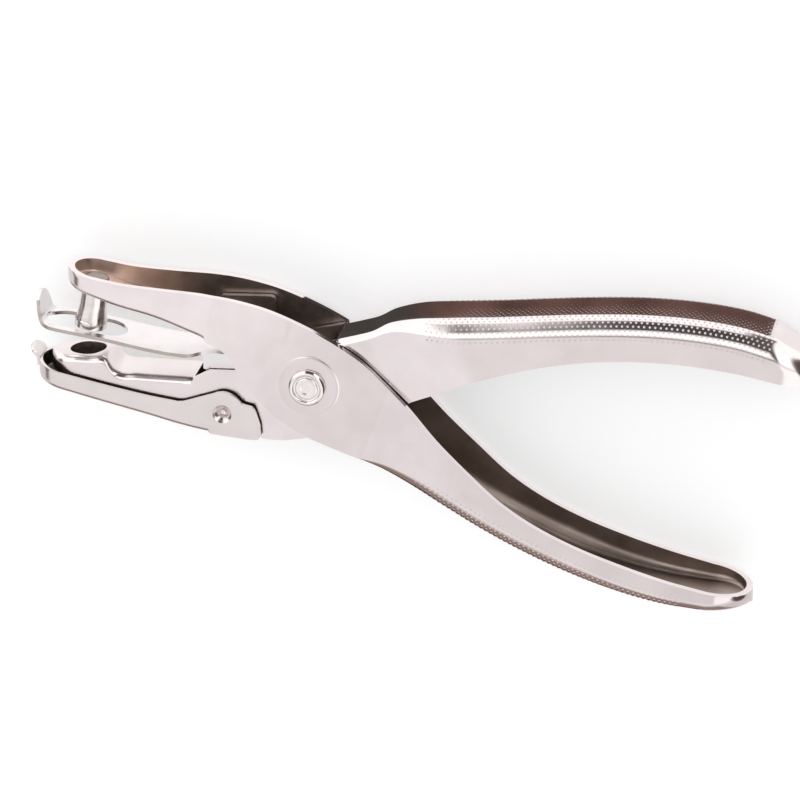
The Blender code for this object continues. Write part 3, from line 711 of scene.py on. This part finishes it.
def build_outer_lever():
    mesh = stamping(outer_stations(), SHEET, OUTER_NOSE, OUTER_END)
    cuts = both_cheeks(BORE_RADIUS, OUTER_CHEEK)
    cuts.append(drill(PIN_HOLE_RADIUS, pin_frame(PIN_HOLE_HEIGHT)))
    mesh = worked(mesh, cuts)
    # The inner skin takes the painted shade of the channel's inside.
    materials = [PLATE, PLATE_INSIDE_PAINTED_SHADE]
    finished("outer_lever_shell", mesh, materials, "outer_lever", "upper_jaw_lever")


def build_boss(side):
    """The round land pressed up around each rivet hole."""
    face = OUTER_CHEEK
    profile = [(0, face - 0.4), (5.5, face - 0.4), (5.5, face - 0.01), (5.3, face + 0.02), (5.05, face + 0.1)]
    profile += [(4.8, face + 0.12), (4.4, face + 0.1), (3.6, face + 0.09), (0, face + 0.09)]
    turn = Matrix.Rotation(math.pi * (side < 0), 4, "X")
    mesh = turned(rounded_profile(profile, 0.2), turn)
    name = "pivot_land_near" if side > 0 else "pivot_land_far"
    finished(name, mesh, [PLATE], "outer_lever", None, 60)


# ---- punch pin, rivet, bush and spring ----
def build_pin():
    web = 6.7
    shoulder, seat = web - 0.5, web + SHEET + CLEARANCE + 0.9
    profile = [
        (0, 0.4),
        (PUNCH_RADIUS - 0.7, 0.32),
        (PUNCH_RADIUS, 0.0),
        (PUNCH_RADIUS, 1.15),
        (PUNCH_RADIUS - 0.06, 1.3),
        (2.32, 3.2),
        (2.26, 3.8),
        (2.24, shoulder),
        (1.4, shoulder),
        (1.4, seat - 0.45),
        (2.05, seat - 0.45),
        (1.85, seat - 0.1),
        (1.2, seat + 0.1),
        (0, seat + 0.14),
    ]
    mesh = turned(rounded_profile(profile, 0.12))
    # The part above the web, inside the channel, takes the painted shade.
    for face in mesh.faces:
        face.material_index = face.calc_center_median().z > web
    bmesh.ops.transform(mesh, verts=mesh.verts, matrix=pin_frame(0))
    materials = [TURNED, HEADED_END_PAINTED_SHADE]
    finished("punch_pin_turned", mesh, materials, "outer_lever", "punch_pin", 50)


def build_rivet():
    face, under = RIVET_FACE, OUTER_CHEEK + 0.12
    rolled = [
        (0, -face),
        (RIVET_HEAD_RADIUS - 0.4, -face),
        (RIVET_HEAD_RADIUS, -face + 0.4),
        (RIVET_HEAD_RADIUS, -under),
        (SHANK_RADIUS, -under),
        (SHANK_RADIUS, under),
        (RIVET_HEAD_RADIUS, under),
        (RIVET_HEAD_RADIUS, face - 0.4),
        (RIVET_HEAD_RADIUS - 0.35, face),
        (2.35, face - 0.03),
        (2.12, face - 0.42),
        (1.92, face - 0.44),
        (1.72, face - 0.16),
        (1.2, face - 0.1),
        (0.7, face - 0.24),
        (0.35, face - 0.2),
        (0, face - 0.24),
    ]
    mesh = turned(rounded_profile(rolled, 0.16))
    finished("pivot_rivet_clinched", mesh, [RIVET_PLATE], "outer_lever", "pivot_rivet", 50)


def build_bush():
    bore, outer, half = BORE_RADIUS, BUSH_RADIUS, BUSH_HALF_LENGTH
    profile = [(bore, -half), (outer, -half), (outer, half), (bore, half), (bore, -half)]
    mesh = turned(rounded_profile(profile, 0.1)[:-1], closed=True)
    finished("spring_bush_tube", mesh, [TURNED_BUSH], "outer_lever", "spring_bush")


def spring_path():
    """The wire's middle line: a leg to the lower handle's web, the coil, a leg to the upper handle's web."""
    lower_foot = Vector((17.9, -14.6))
    upper_foot = Vector((9.6, 7.0))
    coil = BUSH_RADIUS + CLEARANCE + WIRE / 2
    half = BUSH_HALF_LENGTH - WIRE / 2

    def tangent(foot, side):
        return math.atan2(foot.y, foot.x) + side * math.acos(coil / foot.length)

    start, end = tangent(lower_foot, -1), tangent(upper_foot, 1)
    sweep = -((start - end) % (2 * math.pi)) - 2 * math.pi * (COIL_TURNS - 1)
    steps = 48 * COIL_TURNS
    path = [Vector((*lower_foot, -half))]
    for step in range(steps + 1):
        angle = start + sweep * step / steps
        path.append(Vector((coil * math.cos(angle), coil * math.sin(angle), -half + 2 * half * step / steps)))
    path.append(Vector((*upper_foot, half)))
    return path


def tube(path, radius, sides=16):
    """A round wire along a path, with slightly broken end edges."""
    mesh = bmesh.new()
    runs = [(b - a).normalized() for a, b in zip(path, path[1:])]
    across_wire = Vector((0, 0, 1))
    rings = []

    def ring(centre, run, size):
        side = (across_wire - run * across_wire.dot(run)).normalized()
        other = run.cross(side)
        angles = [2 * math.pi * i / sides for i in range(sides)]
        return [mesh.verts.new(centre + (side * math.cos(a) + other * math.sin(a)) * size) for a in angles]

    first, last = runs[0], runs[-1]
    rings.append(ring(path[0], first, radius * 0.8))
    rings.append(ring(path[0] + first * radius * 0.2, first, radius))
    for i in range(1, len(path) - 1):
        rings.append(ring(path[i], (runs[i - 1] + runs[i]).normalized(), radius))
    rings.append(ring(path[-1] - last * radius * 0.2, last, radius))
    rings.append(ring(path[-1], last, radius * 0.8))
    return joined_rings(mesh, rings)


def split_leg(path, count=12):
    """The straight legs in short steps."""
    made = []
    for one, other in ((path[0], path[1]), (path[-2], path[-1])):
        made.append([one.lerp(other, k / count) for k in range(count + 1)])
    return made[0][:-1] + path[1:-1] + made[1][1:]


def build_spring():
    mesh = tube(split_leg(spring_path()), WIRE / 2)
    spring = finished("return_spring_wire", mesh, [WIRE_STEEL], None, "return_spring", 60)
    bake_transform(spring)


# ---- inner lever ----
def inner_stations():
    cheek, handle = INNER_CHEEK, HANDLE_HALF_WIDTH
    ear = WEB_STOP + CLEARANCE
    jaw = smooth(
        [
            *webbed(
                cheek,
                LOWER_BEND,
                ((-39.4, DIE_LEVEL), (-39.4, -1.6)),
                ((-36.8, DIE_LEVEL), (-36.8, -1.9)),
                ((-34.3, DIE_LEVEL), (-34.3, -2.3)),
                ((-32.3, -0.2), (-32.3, -2.9)),
                ((-29.0, -0.4), (-29.0, -3.6)),
                ((-19.6, -0.45), (-20.5, -5.9)),
            ),
        ]
    )
    cheeks = webless(
        cheek,
        ((-19.3, -0.35), (-20.1, -6.1)),
        ((-18.3, 0.2), (-18.0, -7.5)),
        ((ear - 0.3, 0.95), (-17.1, -7.9)),
        ((ear - 0.1, 1.3), (-16.8, -8.0)),
        ((ear, 10.5), (-16.2, -8.2)),
        ((ear + 0.15, 11.1), (-15.9, -8.3)),
        ((ear + 0.6, 11.4), (-15.2, -8.4)),
        ((-8.0, 11.7), (-9.9, -8.5)),
        ((-7.4, 11.5), (-9.3, -8.9)),
        ((-7.1, 11.0), (-8.8, -9.6)),
        ((-6.9, 6.4), (-7.9, -10.1)),
        ((-6.6, 5.8), (-7.2, -10.2)),
        ((-6.0, 5.5), (-6.0, -10.25)),
        ((-3.0, 5.6), (-4.0, -10.15)),
        ((-0.7, 6.5), (-1.0, -9.65)),
        ((2.0, 7.1), (3.0, -8.7)),
        ((4.5, 7.75), (7.6, -7.05)),
    )
    grip = smooth(
        [
            Station((4.8, 7.8), (8.0, -6.9), cheek, LOWER_BEND),
            Station((7.6, 8.6), (12.4, -4.7), cheek, LOWER_BEND),
            Station((10.3, 9.5), (16.2, -2.4), cheek, LOWER_BEND),
            Station((13.2, 11.1), (19.4, -0.9), cheek + 0.5, 1.8),
            Station((17.6, 12.2), (22.8, 0.9), (cheek + handle) / 2 + 0.6, 2.8),
            *webbed(
                handle,
                HANDLE_BEND,
                ((23.0, 12.7), (27.2, 2.8)),
                ((30.5, 13.3), (33.0, 4.8)),
                ((38.5, 14.1), (40.0, 6.6)),
                ((46.5, 14.8), (47.2, 7.8)),
                ((54.5, 15.2), (54.7, 8.3)),
                ((62.5, 15.0), (62.5, 8.1)),
                ((70.0, 14.1), (69.6, 7.3)),
                ((76.0, 12.5), (75.4, 6.2)),
            ),
        ]
    )
    return jaw + cheeks + grip


INNER_NOSE = (Vector((-44.0, DIE_LEVEL - 0.3)), Vector((-44.0, -1.0)))
INNER_END = (Vector((84.5, 7.4)), Vector((83.6, 4.4)))


def build_inner_lever():
    mesh = stamping(inner_stations(), SHEET, INNER_NOSE, INNER_END)
    lean = Matrix.Rotation(-math.atan2(DIE_LEVEL, DIE_DISTANCE), 4, "Z")
    die = drill(DIE_RADIUS, Matrix.Translation((-DIE_DISTANCE, DIE_LEVEL, 0)) @ lean @ Z_TO_Y)
    # The die hole's wall takes the painted shade of the channel's inside.
    for face in die.faces:
        face.material_index = 1
    cuts = [die]
    ear = WEB_STOP + CLEARANCE
    notch = [(ear - 0.7, 1.05), (ear, 1.05), (-11.3, 1.25), (-11.3, 4.4), (ear, 6.8), (ear - 0.7, 7.1)]
    cuts.append(prism(notch, -2 * OUTER_CHEEK, 2 * OUTER_CHEEK))
    cuts += both_cheeks(BORE_RADIUS, INNER_CHEEK)
    cuts += both_cheeks(DIMPLE_HOLE_RADIUS, INNER_CHEEK, TRAY_HINGE)
    mesh = worked(mesh, cuts)
    # The outer skin takes the plate painted a little lighter, and the inner skin the painted shade of the
    # channel's inside.
    materials = [INNER_PLATE_PAINTED_LIGHTER, PLATE_INSIDE_PAINTED_SHADE]
    finished("inner_lever_shell", mesh, materials, "inner_lever", "lower_jaw_lever")


# ---- raised grip dots on both handles ----
def dots(name, stations, body, begin, finish):
    """Rows of small domes along a handle's bends and web, every other row shifted by half a pitch."""
    outer = [s for s in stations if not s.open_web]
    at = [0.0]
    for one, other in zip(outer, outer[1:]):
        at.append(at[-1] + (other.web - one.web).length)
    mesh = bmesh.new()

    def sample(distance):
        i = next(i for i in range(len(outer) - 1) if distance <= at[i + 1])
        t = (distance - at[i]) / (at[i + 1] - at[i])
        values = [a + (b - a) * t for a, b in zip(outer[i].values(), outer[i + 1].values())]
        run = (outer[i + 1].web - outer[i].web).normalized()
        return Station.of(values, False), run

    def dome(centre, normal, run, height):
        side = normal.cross(run).normalized()
        angles = [math.pi * k / 4 for k in range(8)]
        spokes = [(run * math.cos(a) + side * math.sin(a)) * DOT_RADIUS for a in angles]
        base = []
        for size, lift in ((1.0, -0.06), (0.78, 0.45), (0.4, 0.85)):
            offset = normal * (height * lift)
            base.append([mesh.verts.new(centre + offset + spoke * size) for spoke in spokes])
        top = mesh.verts.new(centre + normal * height)
        foot = mesh.verts.new(centre - normal * height)
        for one, other in zip(base, base[1:]):
            for k in range(8):
                mesh.faces.new((one[k], one[(k + 1) % 8], other[(k + 1) % 8], other[k]))
        for k in range(8):
            mesh.faces.new((base[-1][k], base[-1][(k + 1) % 8], top))
            mesh.faces.new((base[0][(k + 1) % 8], base[0][k], foot))

    start = next(d for s, d in zip(outer, at) if s.web.x >= begin)
    length = next(d for s, d in zip(outer, at) if s.web.x >= finish) - start
    for row in range(ROWS):
        t = FIRST_ROW + row * ROW_GAP
        for k in range(int(length / PITCH)):
            station, run = sample(start + (k + 0.5 * (row % 2)) * PITCH)
            up = Vector((-run.y, run.x))
            if up.dot(station.web - station.edge) < 0:
                up = -up
            arc = station.bend * math.pi / 2
            flat = station.half - station.bend
            if t > arc + flat:
                continue
            if t < arc:
                angle = t / station.bend
                sink = station.bend * (1 - math.sin(angle))
                z = flat + station.bend * math.cos(angle)
            else:
                angle, sink, z = math.radians(90), 0.0, flat - (t - arc)
            height = DOT_HEIGHT if angle < math.radians(80) else WEB_DOT_HEIGHT
            height *= min(1.0, 0.3 + 0.09 * k)
            place = station.web - up * sink
            for side in (1, -1):
                normal = Vector((*up * math.sin(angle), side * math.cos(angle))).normalized()
                dome(Vector((place.x, place.y, side * z)), normal, run.to_3d(), height)
    bmesh.ops.recalc_face_normals(mesh, faces=mesh.faces)
    finished(name, mesh, [PLATE], body, None, 80)


# ---- paper guide and stripper ----
def guide_line():
    """The plate's middle line, from the lip's top to its rear end, as (x, y, half width)."""
    wide = GUIDE_HALF_WIDTH
    lip = []
    steps = 18
    for step in range(steps + 1):
        angle = math.radians(90) * step / steps
        half = 3.5 * max(math.cos(angle), 0.1)
        lip.append((-45.2 - 0.65 * math.sin(angle), 8.4 + 3.45 * math.sin(angle), half))
    fold = [
        (-45.17, 8.2, wide - 1.47),
        (-45.1, 8.0, wide - 1.4),
        (-45.0, 7.75, wide - 1.28),
        (-44.85, 7.5, wide - 1.15),
        (-44.65, 7.28, wide - 1.0),
        (-44.4, 7.1, wide - 0.85),
        (-44.1, 6.98, wide - 0.67),
        (-43.8, 6.91, wide - 0.5),
        (-43.3, 6.86, wide - 0.28),
    ]
    flat = [
        (-42.8, 6.8, wide - 0.15),
        (-41.4, 6.62, wide - 0.03),
        (-39.1, 6.3, wide),
        (-36.5, 5.92, wide),
        (-33.8, 5.5, wide),
        (-30.6, 4.9, wide),
        (-27.3, 4.3, wide),
        (-24.1, 3.85, wide),
        (-21.0, 3.6, wide),
        (-20.2, 3.58, 4.85),
        (-19.4, 3.58, 4.45),
        (-18.7, 3.58, 3.7),
        (-18.2, 3.58, 3.3),
        (-16.0, 3.5, 3.3),
        (-13.4, 3.4, 3.3),
    ]
    return lip[::-1] + fold + flat


def build_guide():
    mesh = strip(guide_line(), GUIDE_SHEET, (1.0, 0.5, 0.0, -0.5, -1.0))
    outside, inside = 3.3, 2.7
    radius = 3.4
    ear = [(-17.9, 3.6), (-13.4, 3.5), (-13.4, 3.3)]
    steps = 24
    for step in range(steps + 1):
        angle = math.radians(70) - math.radians(210) * step / steps
        ear.append((radius * math.cos(angle), radius * math.sin(angle)))
    ear += [(-13.4, -0.2), (-16.4, 0.5), (-17.9, 1.0)]
    joins = [prism(ear, inside, outside), prism(ear, -outside, -inside)]

    slot_radius, straight = 3.6, 3.2
    slot = []
    steps = 28
    for side in (1, -1):
        for step in range(steps + 1):
            angle = math.pi * step / steps - math.pi / 2
            reach = straight + slot_radius * math.cos(angle)
            slot.append((side * reach, side * slot_radius * math.sin(angle)))
    tool = prism(slot, -DRILL_REACH, DRILL_REACH)
    lay = Matrix.Translation((-38.1, 6.1, 0)) @ Matrix.Rotation(math.radians(-8), 4, "Z")
    bmesh.ops.transform(tool, matrix=lay @ Z_TO_Y, verts=tool.verts)
    cuts = [tool, peg(BORE_RADIUS, -OUTER_CHEEK, OUTER_CHEEK)]
    mesh = worked(mesh, cuts, joins, 0.1, 1, 45)
    for face in mesh.faces:
        face.material_index = abs(face.normal.z) > 0.7 and face.calc_center_median().x < -18
    materials = [GUIDE_PLATE, SHEARED_EDGE]
    finished("paper_guide", mesh, materials, "inner_lever", "stripper_plate")


# ---- chip tray ----
def tray_stations():
    half = TRAY_HALF_WIDTH
    front = smooth(
        [
            *webbed(
                half,
                LOWER_BEND,
                ((-41.6, -3.6), (-41.6, -0.5)),
                ((-34.6, -5.3), (-34.6, -2.0)),
                ((-27.3, -7.0), (-27.3, -3.4)),
                ((-22.6, -8.2), (-21.8, -4.2)),
            ),
        ]
    )
    rear = [
        Station((-21.0, -8.55), (-20.9, -4.1), half, LOWER_BEND),
        Station((-19.3, -8.9), (-19.4, -3.6), half, LOWER_BEND),
        Station((-16.9, -9.3), (-15.6, -2.3), half, LOWER_BEND),
        *webless(
            half,
            ((-16.4, -9.35), (-15.2, -2.1)),
            ((-15.2, -9.5), (-14.3, -1.95)),
            ((-14.3, -9.6), (-13.6, -2.0)),
            ((-13.2, -9.7), (-12.9, -2.25)),
            ((-12.3, -9.78), (-12.2, -2.65)),
            ((-11.6, -9.85), (-11.6, -3.2)),
            ((-11.0, -9.9), (-11.1, -3.75)),
            ((-10.4, -9.95), (-10.6, -4.0)),
            ((-9.3, -10.0), (-9.4, -4.25)),
            ((-8.7, -9.97), (-9.0, -4.6)),
            ((-8.3, -9.85), (-8.7, -5.3)),
            ((-7.9, -9.3), (-8.05, -7.4)),
        ),
    ]
    return front + rear


TAB_FOOT = -45.9
TRAY_NOSE = (Vector((-46.2, -2.5)), Vector((-46.2, 0.7)))


def thumb_tab():
    """The rounded tab that leans out from the tray's nose."""
    steps = 14
    rise = [(-0.02, -0.6, 2.4), (0.0, 0.2, 2.4), (-0.06, 0.7, 2.4), (-0.3, 1.15, 2.4)]
    for step in range(1, steps + 1):
        angle = math.radians(90) * step / steps
        half = 2.4 * max(math.cos(angle), 0.1)
        rise.append((-0.3 - 1.3 * math.sin(angle), 1.15 + 1.25 * math.sin(angle), half))
    return strip(rise, TRAY_SHEET, (1.0, -1.0), TAB_FOOT)


def build_tray():
    mesh = stamping(tray_stations(), TRAY_SHEET, TRAY_NOSE)
    outside, inside = TRAY_HALF_WIDTH, TRAY_HALF_WIDTH - TRAY_SHEET
    joins, cuts = [thumb_tab()], []
    for side in (1, -1):
        place = Matrix.Translation((*TRAY_HINGE, 0)) @ Matrix.Rotation(math.pi * (side < 0), 4, "X")
        bump = [(0, inside - 1.1), (0.75, inside - 1.0), (1.05, inside - 0.5), (1.2, inside - 0.2)]
        bump += [(1.75, inside - 0.02), (1.75, inside + 0.2), (0, inside + 0.2)]
        bowl = [(0, inside - 0.75), (0.45, inside - 0.6), (0.85, inside - 0.05), (1.2, outside - 0.3)]
        bowl += [(1.65, outside + 0.02), (1.9, outside + 0.5), (0, outside + 0.5)]
        joins.append(turned(rounded_profile(bump, 0.2), place))
        cuts.append(turned(rounded_profile(bowl, 0.2), place))
    mesh = worked(mesh, cuts, joins, 0.09)
    # The tray's inner skin takes the painted shade.
    finished("chip_tray_shell", mesh, [THIN_PLATE, TRAY_INSIDE_PAINTED_SHADE], "tray", "chip_tray")


# ---- stage ----
def build_floor():
    mesh = bmesh.new()
    bmesh.ops.create_grid(mesh, x_segments=2, y_segments=2, size=FLOOR_SIZE)
    floor = new_object(mesh, "floor")
    floor.location.z = cad_low.z - FLOOR_DROP
    material = bpy.data.materials.new("pale_floor")
    n = Nodes(material)
    pale = n.blend(n.spread(n.noise(6.0), 0.0, 1.0), (0.60, 0.60, 0.60), (0.63, 0.63, 0.63))
    n.link(pale, n.shader.inputs["Base Color"])
    n.shader.inputs["Emission Color"].default_value = (1, 1, 1, 1)
    n.shader.inputs["Emission Strength"].default_value = FLOOR_GLOW
    n.shader.inputs["Roughness"].default_value = 0.9
    n.shader.inputs["Specular IOR Level"].default_value = 0.1
    floor.data.materials.append(material)
    floor.visible_glossy = False


def build_flag(name, stations, near, far, begin, end):
    """A dark card lying along a handle, between two distances from its web. Only reflections see it."""
    mesh = bmesh.new()
    rows = []
    low = node_box("upper_jaw_lever")[0].z
    for one, other in zip(stations, stations[1:]):
        if begin < one.web.x < end and not one.open_web:
            run = (other.web - one.web).normalized()
            out = Vector((-run.y, run.x))
            if out.dot(one.web - one.edge) < 0:
                out = -out
            if not rows:
                start = one.web - run * FLAG_LEAD
                reaches = (near + FLAG_LEAD_GAP, far)
                rows.append([mesh.verts.new((*(start + out * reach), low)) for reach in reaches])
            rows.append([mesh.verts.new((*(one.web + out * reach), low)) for reach in (near, far)])
    for one, other in zip(rows, rows[1:]):
        mesh.faces.new((one[0], one[1], other[1], other[0]))
    bmesh.ops.transform(mesh, matrix=TO_METRES, verts=mesh.verts)
    flag = new_object(mesh, name)
    material = bpy.data.materials.new(name)
    n = Nodes(material)
    n.shader.inputs["Base Color"].default_value = (0, 0, 0, 1)
    n.shader.inputs["Specular IOR Level"].default_value = 0.0
    dark, light = [[channel * share for channel in FLAG_COLOUR] for share in (0.8, 1.25)]
    warm = n.blend(n.spread(n.noise(90.0), 0.0, 1.0), dark, light)
    split = n.add("ShaderNodeSeparateXYZ")
    n.link(n.place, split.inputs["Vector"])
    mixed = n.add("ShaderNodeMix", data_type="RGBA")
    n.link(n.spread(split.outputs["X"], 0.0, 1.0, *FLAG_CHANGE), mixed.inputs["Factor"])
    mixed.inputs["A"].default_value = (*FLAG_START, 1.0)
    n.link(warm, mixed.inputs["B"])
    n.link(mixed.outputs["Result"], n.shader.inputs["Emission Color"])
    n.shader.inputs["Emission Strength"].default_value = 1.0
    flag.data.materials.append(material)
    flag.visible_camera = flag.visible_diffuse = flag.visible_shadow = flag.visible_transmission = False


def build_world():
    """A soft studio. Polished metal sees bands by their turn about X, measured from +Z towards +Y, and the
    cards in front of them; everything else sees an even pale dome."""
    world = bpy.data.worlds.new("studio")
    bpy.context.scene.world = world
    world.use_nodes = True
    tree = world.node_tree
    back = tree.nodes["Background"]

    def add(kind, **values):
        made = tree.nodes.new(kind)
        for name, value in values.items():
            setattr(made, name, value)
        return made

    def value(node, *inputs):
        for socket, source in zip(node.inputs, inputs):
            if isinstance(source, (int, float)):
                socket.default_value = source
            else:
                tree.links.new(source, socket)
        return node.outputs[0]

    split = add("ShaderNodeSeparateXYZ")
    tree.links.new(add("ShaderNodeTexCoord").outputs["Generated"], split.inputs["Vector"])
    x, y, z = split.outputs
    turn = value(add("ShaderNodeMath", operation="ARCTAN2"), y, z)
    share = value(add("ShaderNodeMath", operation="MULTIPLY_ADD"), turn, 0.5 / math.pi, 0.5)
    ramp = add("ShaderNodeValToRGB")
    tree.links.new(share, ramp.inputs["Fac"])
    elements = ramp.color_ramp.elements
    for degrees, _ in BANDS[2:]:
        elements.new((degrees + 180) / 360)
    for element, (degrees, level) in zip(elements, BANDS):
        element.position = (degrees + 180) / 360
        element.color = (*[level / WORLD_STRENGTH * channel for channel in BAND_TINT], 1.0)
    colour = ramp.outputs["Color"]

    def smooth_step(source, low, high):
        made = add("ShaderNodeMapRange", interpolation_type="SMOOTHSTEP")
        made.inputs["From Min"].default_value = low
        made.inputs["From Max"].default_value = high
        tree.links.new(source, made.inputs["Value"])
        return made.outputs["Result"]

    for low, high, soft, x_low, x_high, tint in CARDS:
        rise = smooth_step(share, (low - soft + 180) / 360, (low + soft + 180) / 360)
        fall = smooth_step(share, (high + soft + 180) / 360, (high - soft + 180) / 360)
        mask = value(add("ShaderNodeMath", operation="MULTIPLY"), rise, fall)
        for edge, turned_down in ((x_low, 1), (x_high, -1)):
            if abs(edge) < 1:
                side = smooth_step(x, edge - CARD_EDGE * turned_down, edge + CARD_EDGE * turned_down)
                mask = value(add("ShaderNodeMath", operation="MULTIPLY"), mask, side)
        mix = add("ShaderNodeMix", data_type="RGBA")
        tree.links.new(mask, mix.inputs[MIX_FACTOR])
        tree.links.new(colour, mix.inputs[MIX_A])
        mix.inputs[MIX_B].default_value = (*tint, 1.0)
        colour = mix.outputs[MIX_RESULT]

    path = add("ShaderNodeLightPath")
    mix = add("ShaderNodeMix", data_type="RGBA")
    tree.links.new(path.outputs["Is Glossy Ray"], mix.inputs[MIX_FACTOR])
    mix.inputs[MIX_A].default_value = DOME_COLOUR
    tree.links.new(colour, mix.inputs[MIX_B])
    tree.links.new(mix.outputs[MIX_RESULT], back.inputs["Color"])
    back.inputs["Strength"].default_value = WORLD_STRENGTH


def build_camera():
    """Looks at the punch's near side from 10 degrees to its right and 21.5 degrees over its back."""
    azimuth, elevation = math.radians(10.0), math.radians(21.5)
    level = math.cos(elevation)
    back = Vector((math.sin(azimuth) * level, math.sin(elevation), math.cos(azimuth) * level))
    right = Vector((math.cos(azimuth), 0, -math.sin(azimuth)))
    up = back.cross(right)
    data = bpy.data.cameras.new("camera")
    data.sensor_width = SENSOR_WIDTH
    data.lens = SENSOR_WIDTH * CAMERA_DISTANCE / (PICTURE_SIDE / PIXELS_PER_MM)
    data.clip_start, data.clip_end = 0.01, 20.0
    camera = bpy.data.objects.new("camera", data)
    bpy.context.scene.collection.objects.link(camera)
    aim = PIVOT + right * 14.0 - up * 4.3
    camera.rotation_mode = "QUATERNION"
    turn = Matrix((right, up, back)).transposed()
    camera.rotation_quaternion = turn.to_quaternion()
    camera.location = (aim + back * CAMERA_DISTANCE) * MM
    bpy.context.scene.camera = camera


build_outer_lever()
build_boss(1)
build_boss(-1)
build_pin()
build_rivet()
build_bush()
build_spring()
build_inner_lever()
dots("upper_handle_dots", inner_stations(), "inner_lever", 19.0, 75.9)
dots("lower_handle_dots", outer_stations(), "outer_lever", 17.0, 62.0)
build_guide()
build_tray()
build_floor()
build_flag("flag_upper", inner_stations(), 0.1, 6.5, 3.0, 76.0)
build_flag("flag_lower", outer_stations(), 0.3, 30.0, 12.0, 66.0)
build_world()
build_camera()
bpy.context.scene.view_settings.view_transform = "Standard"
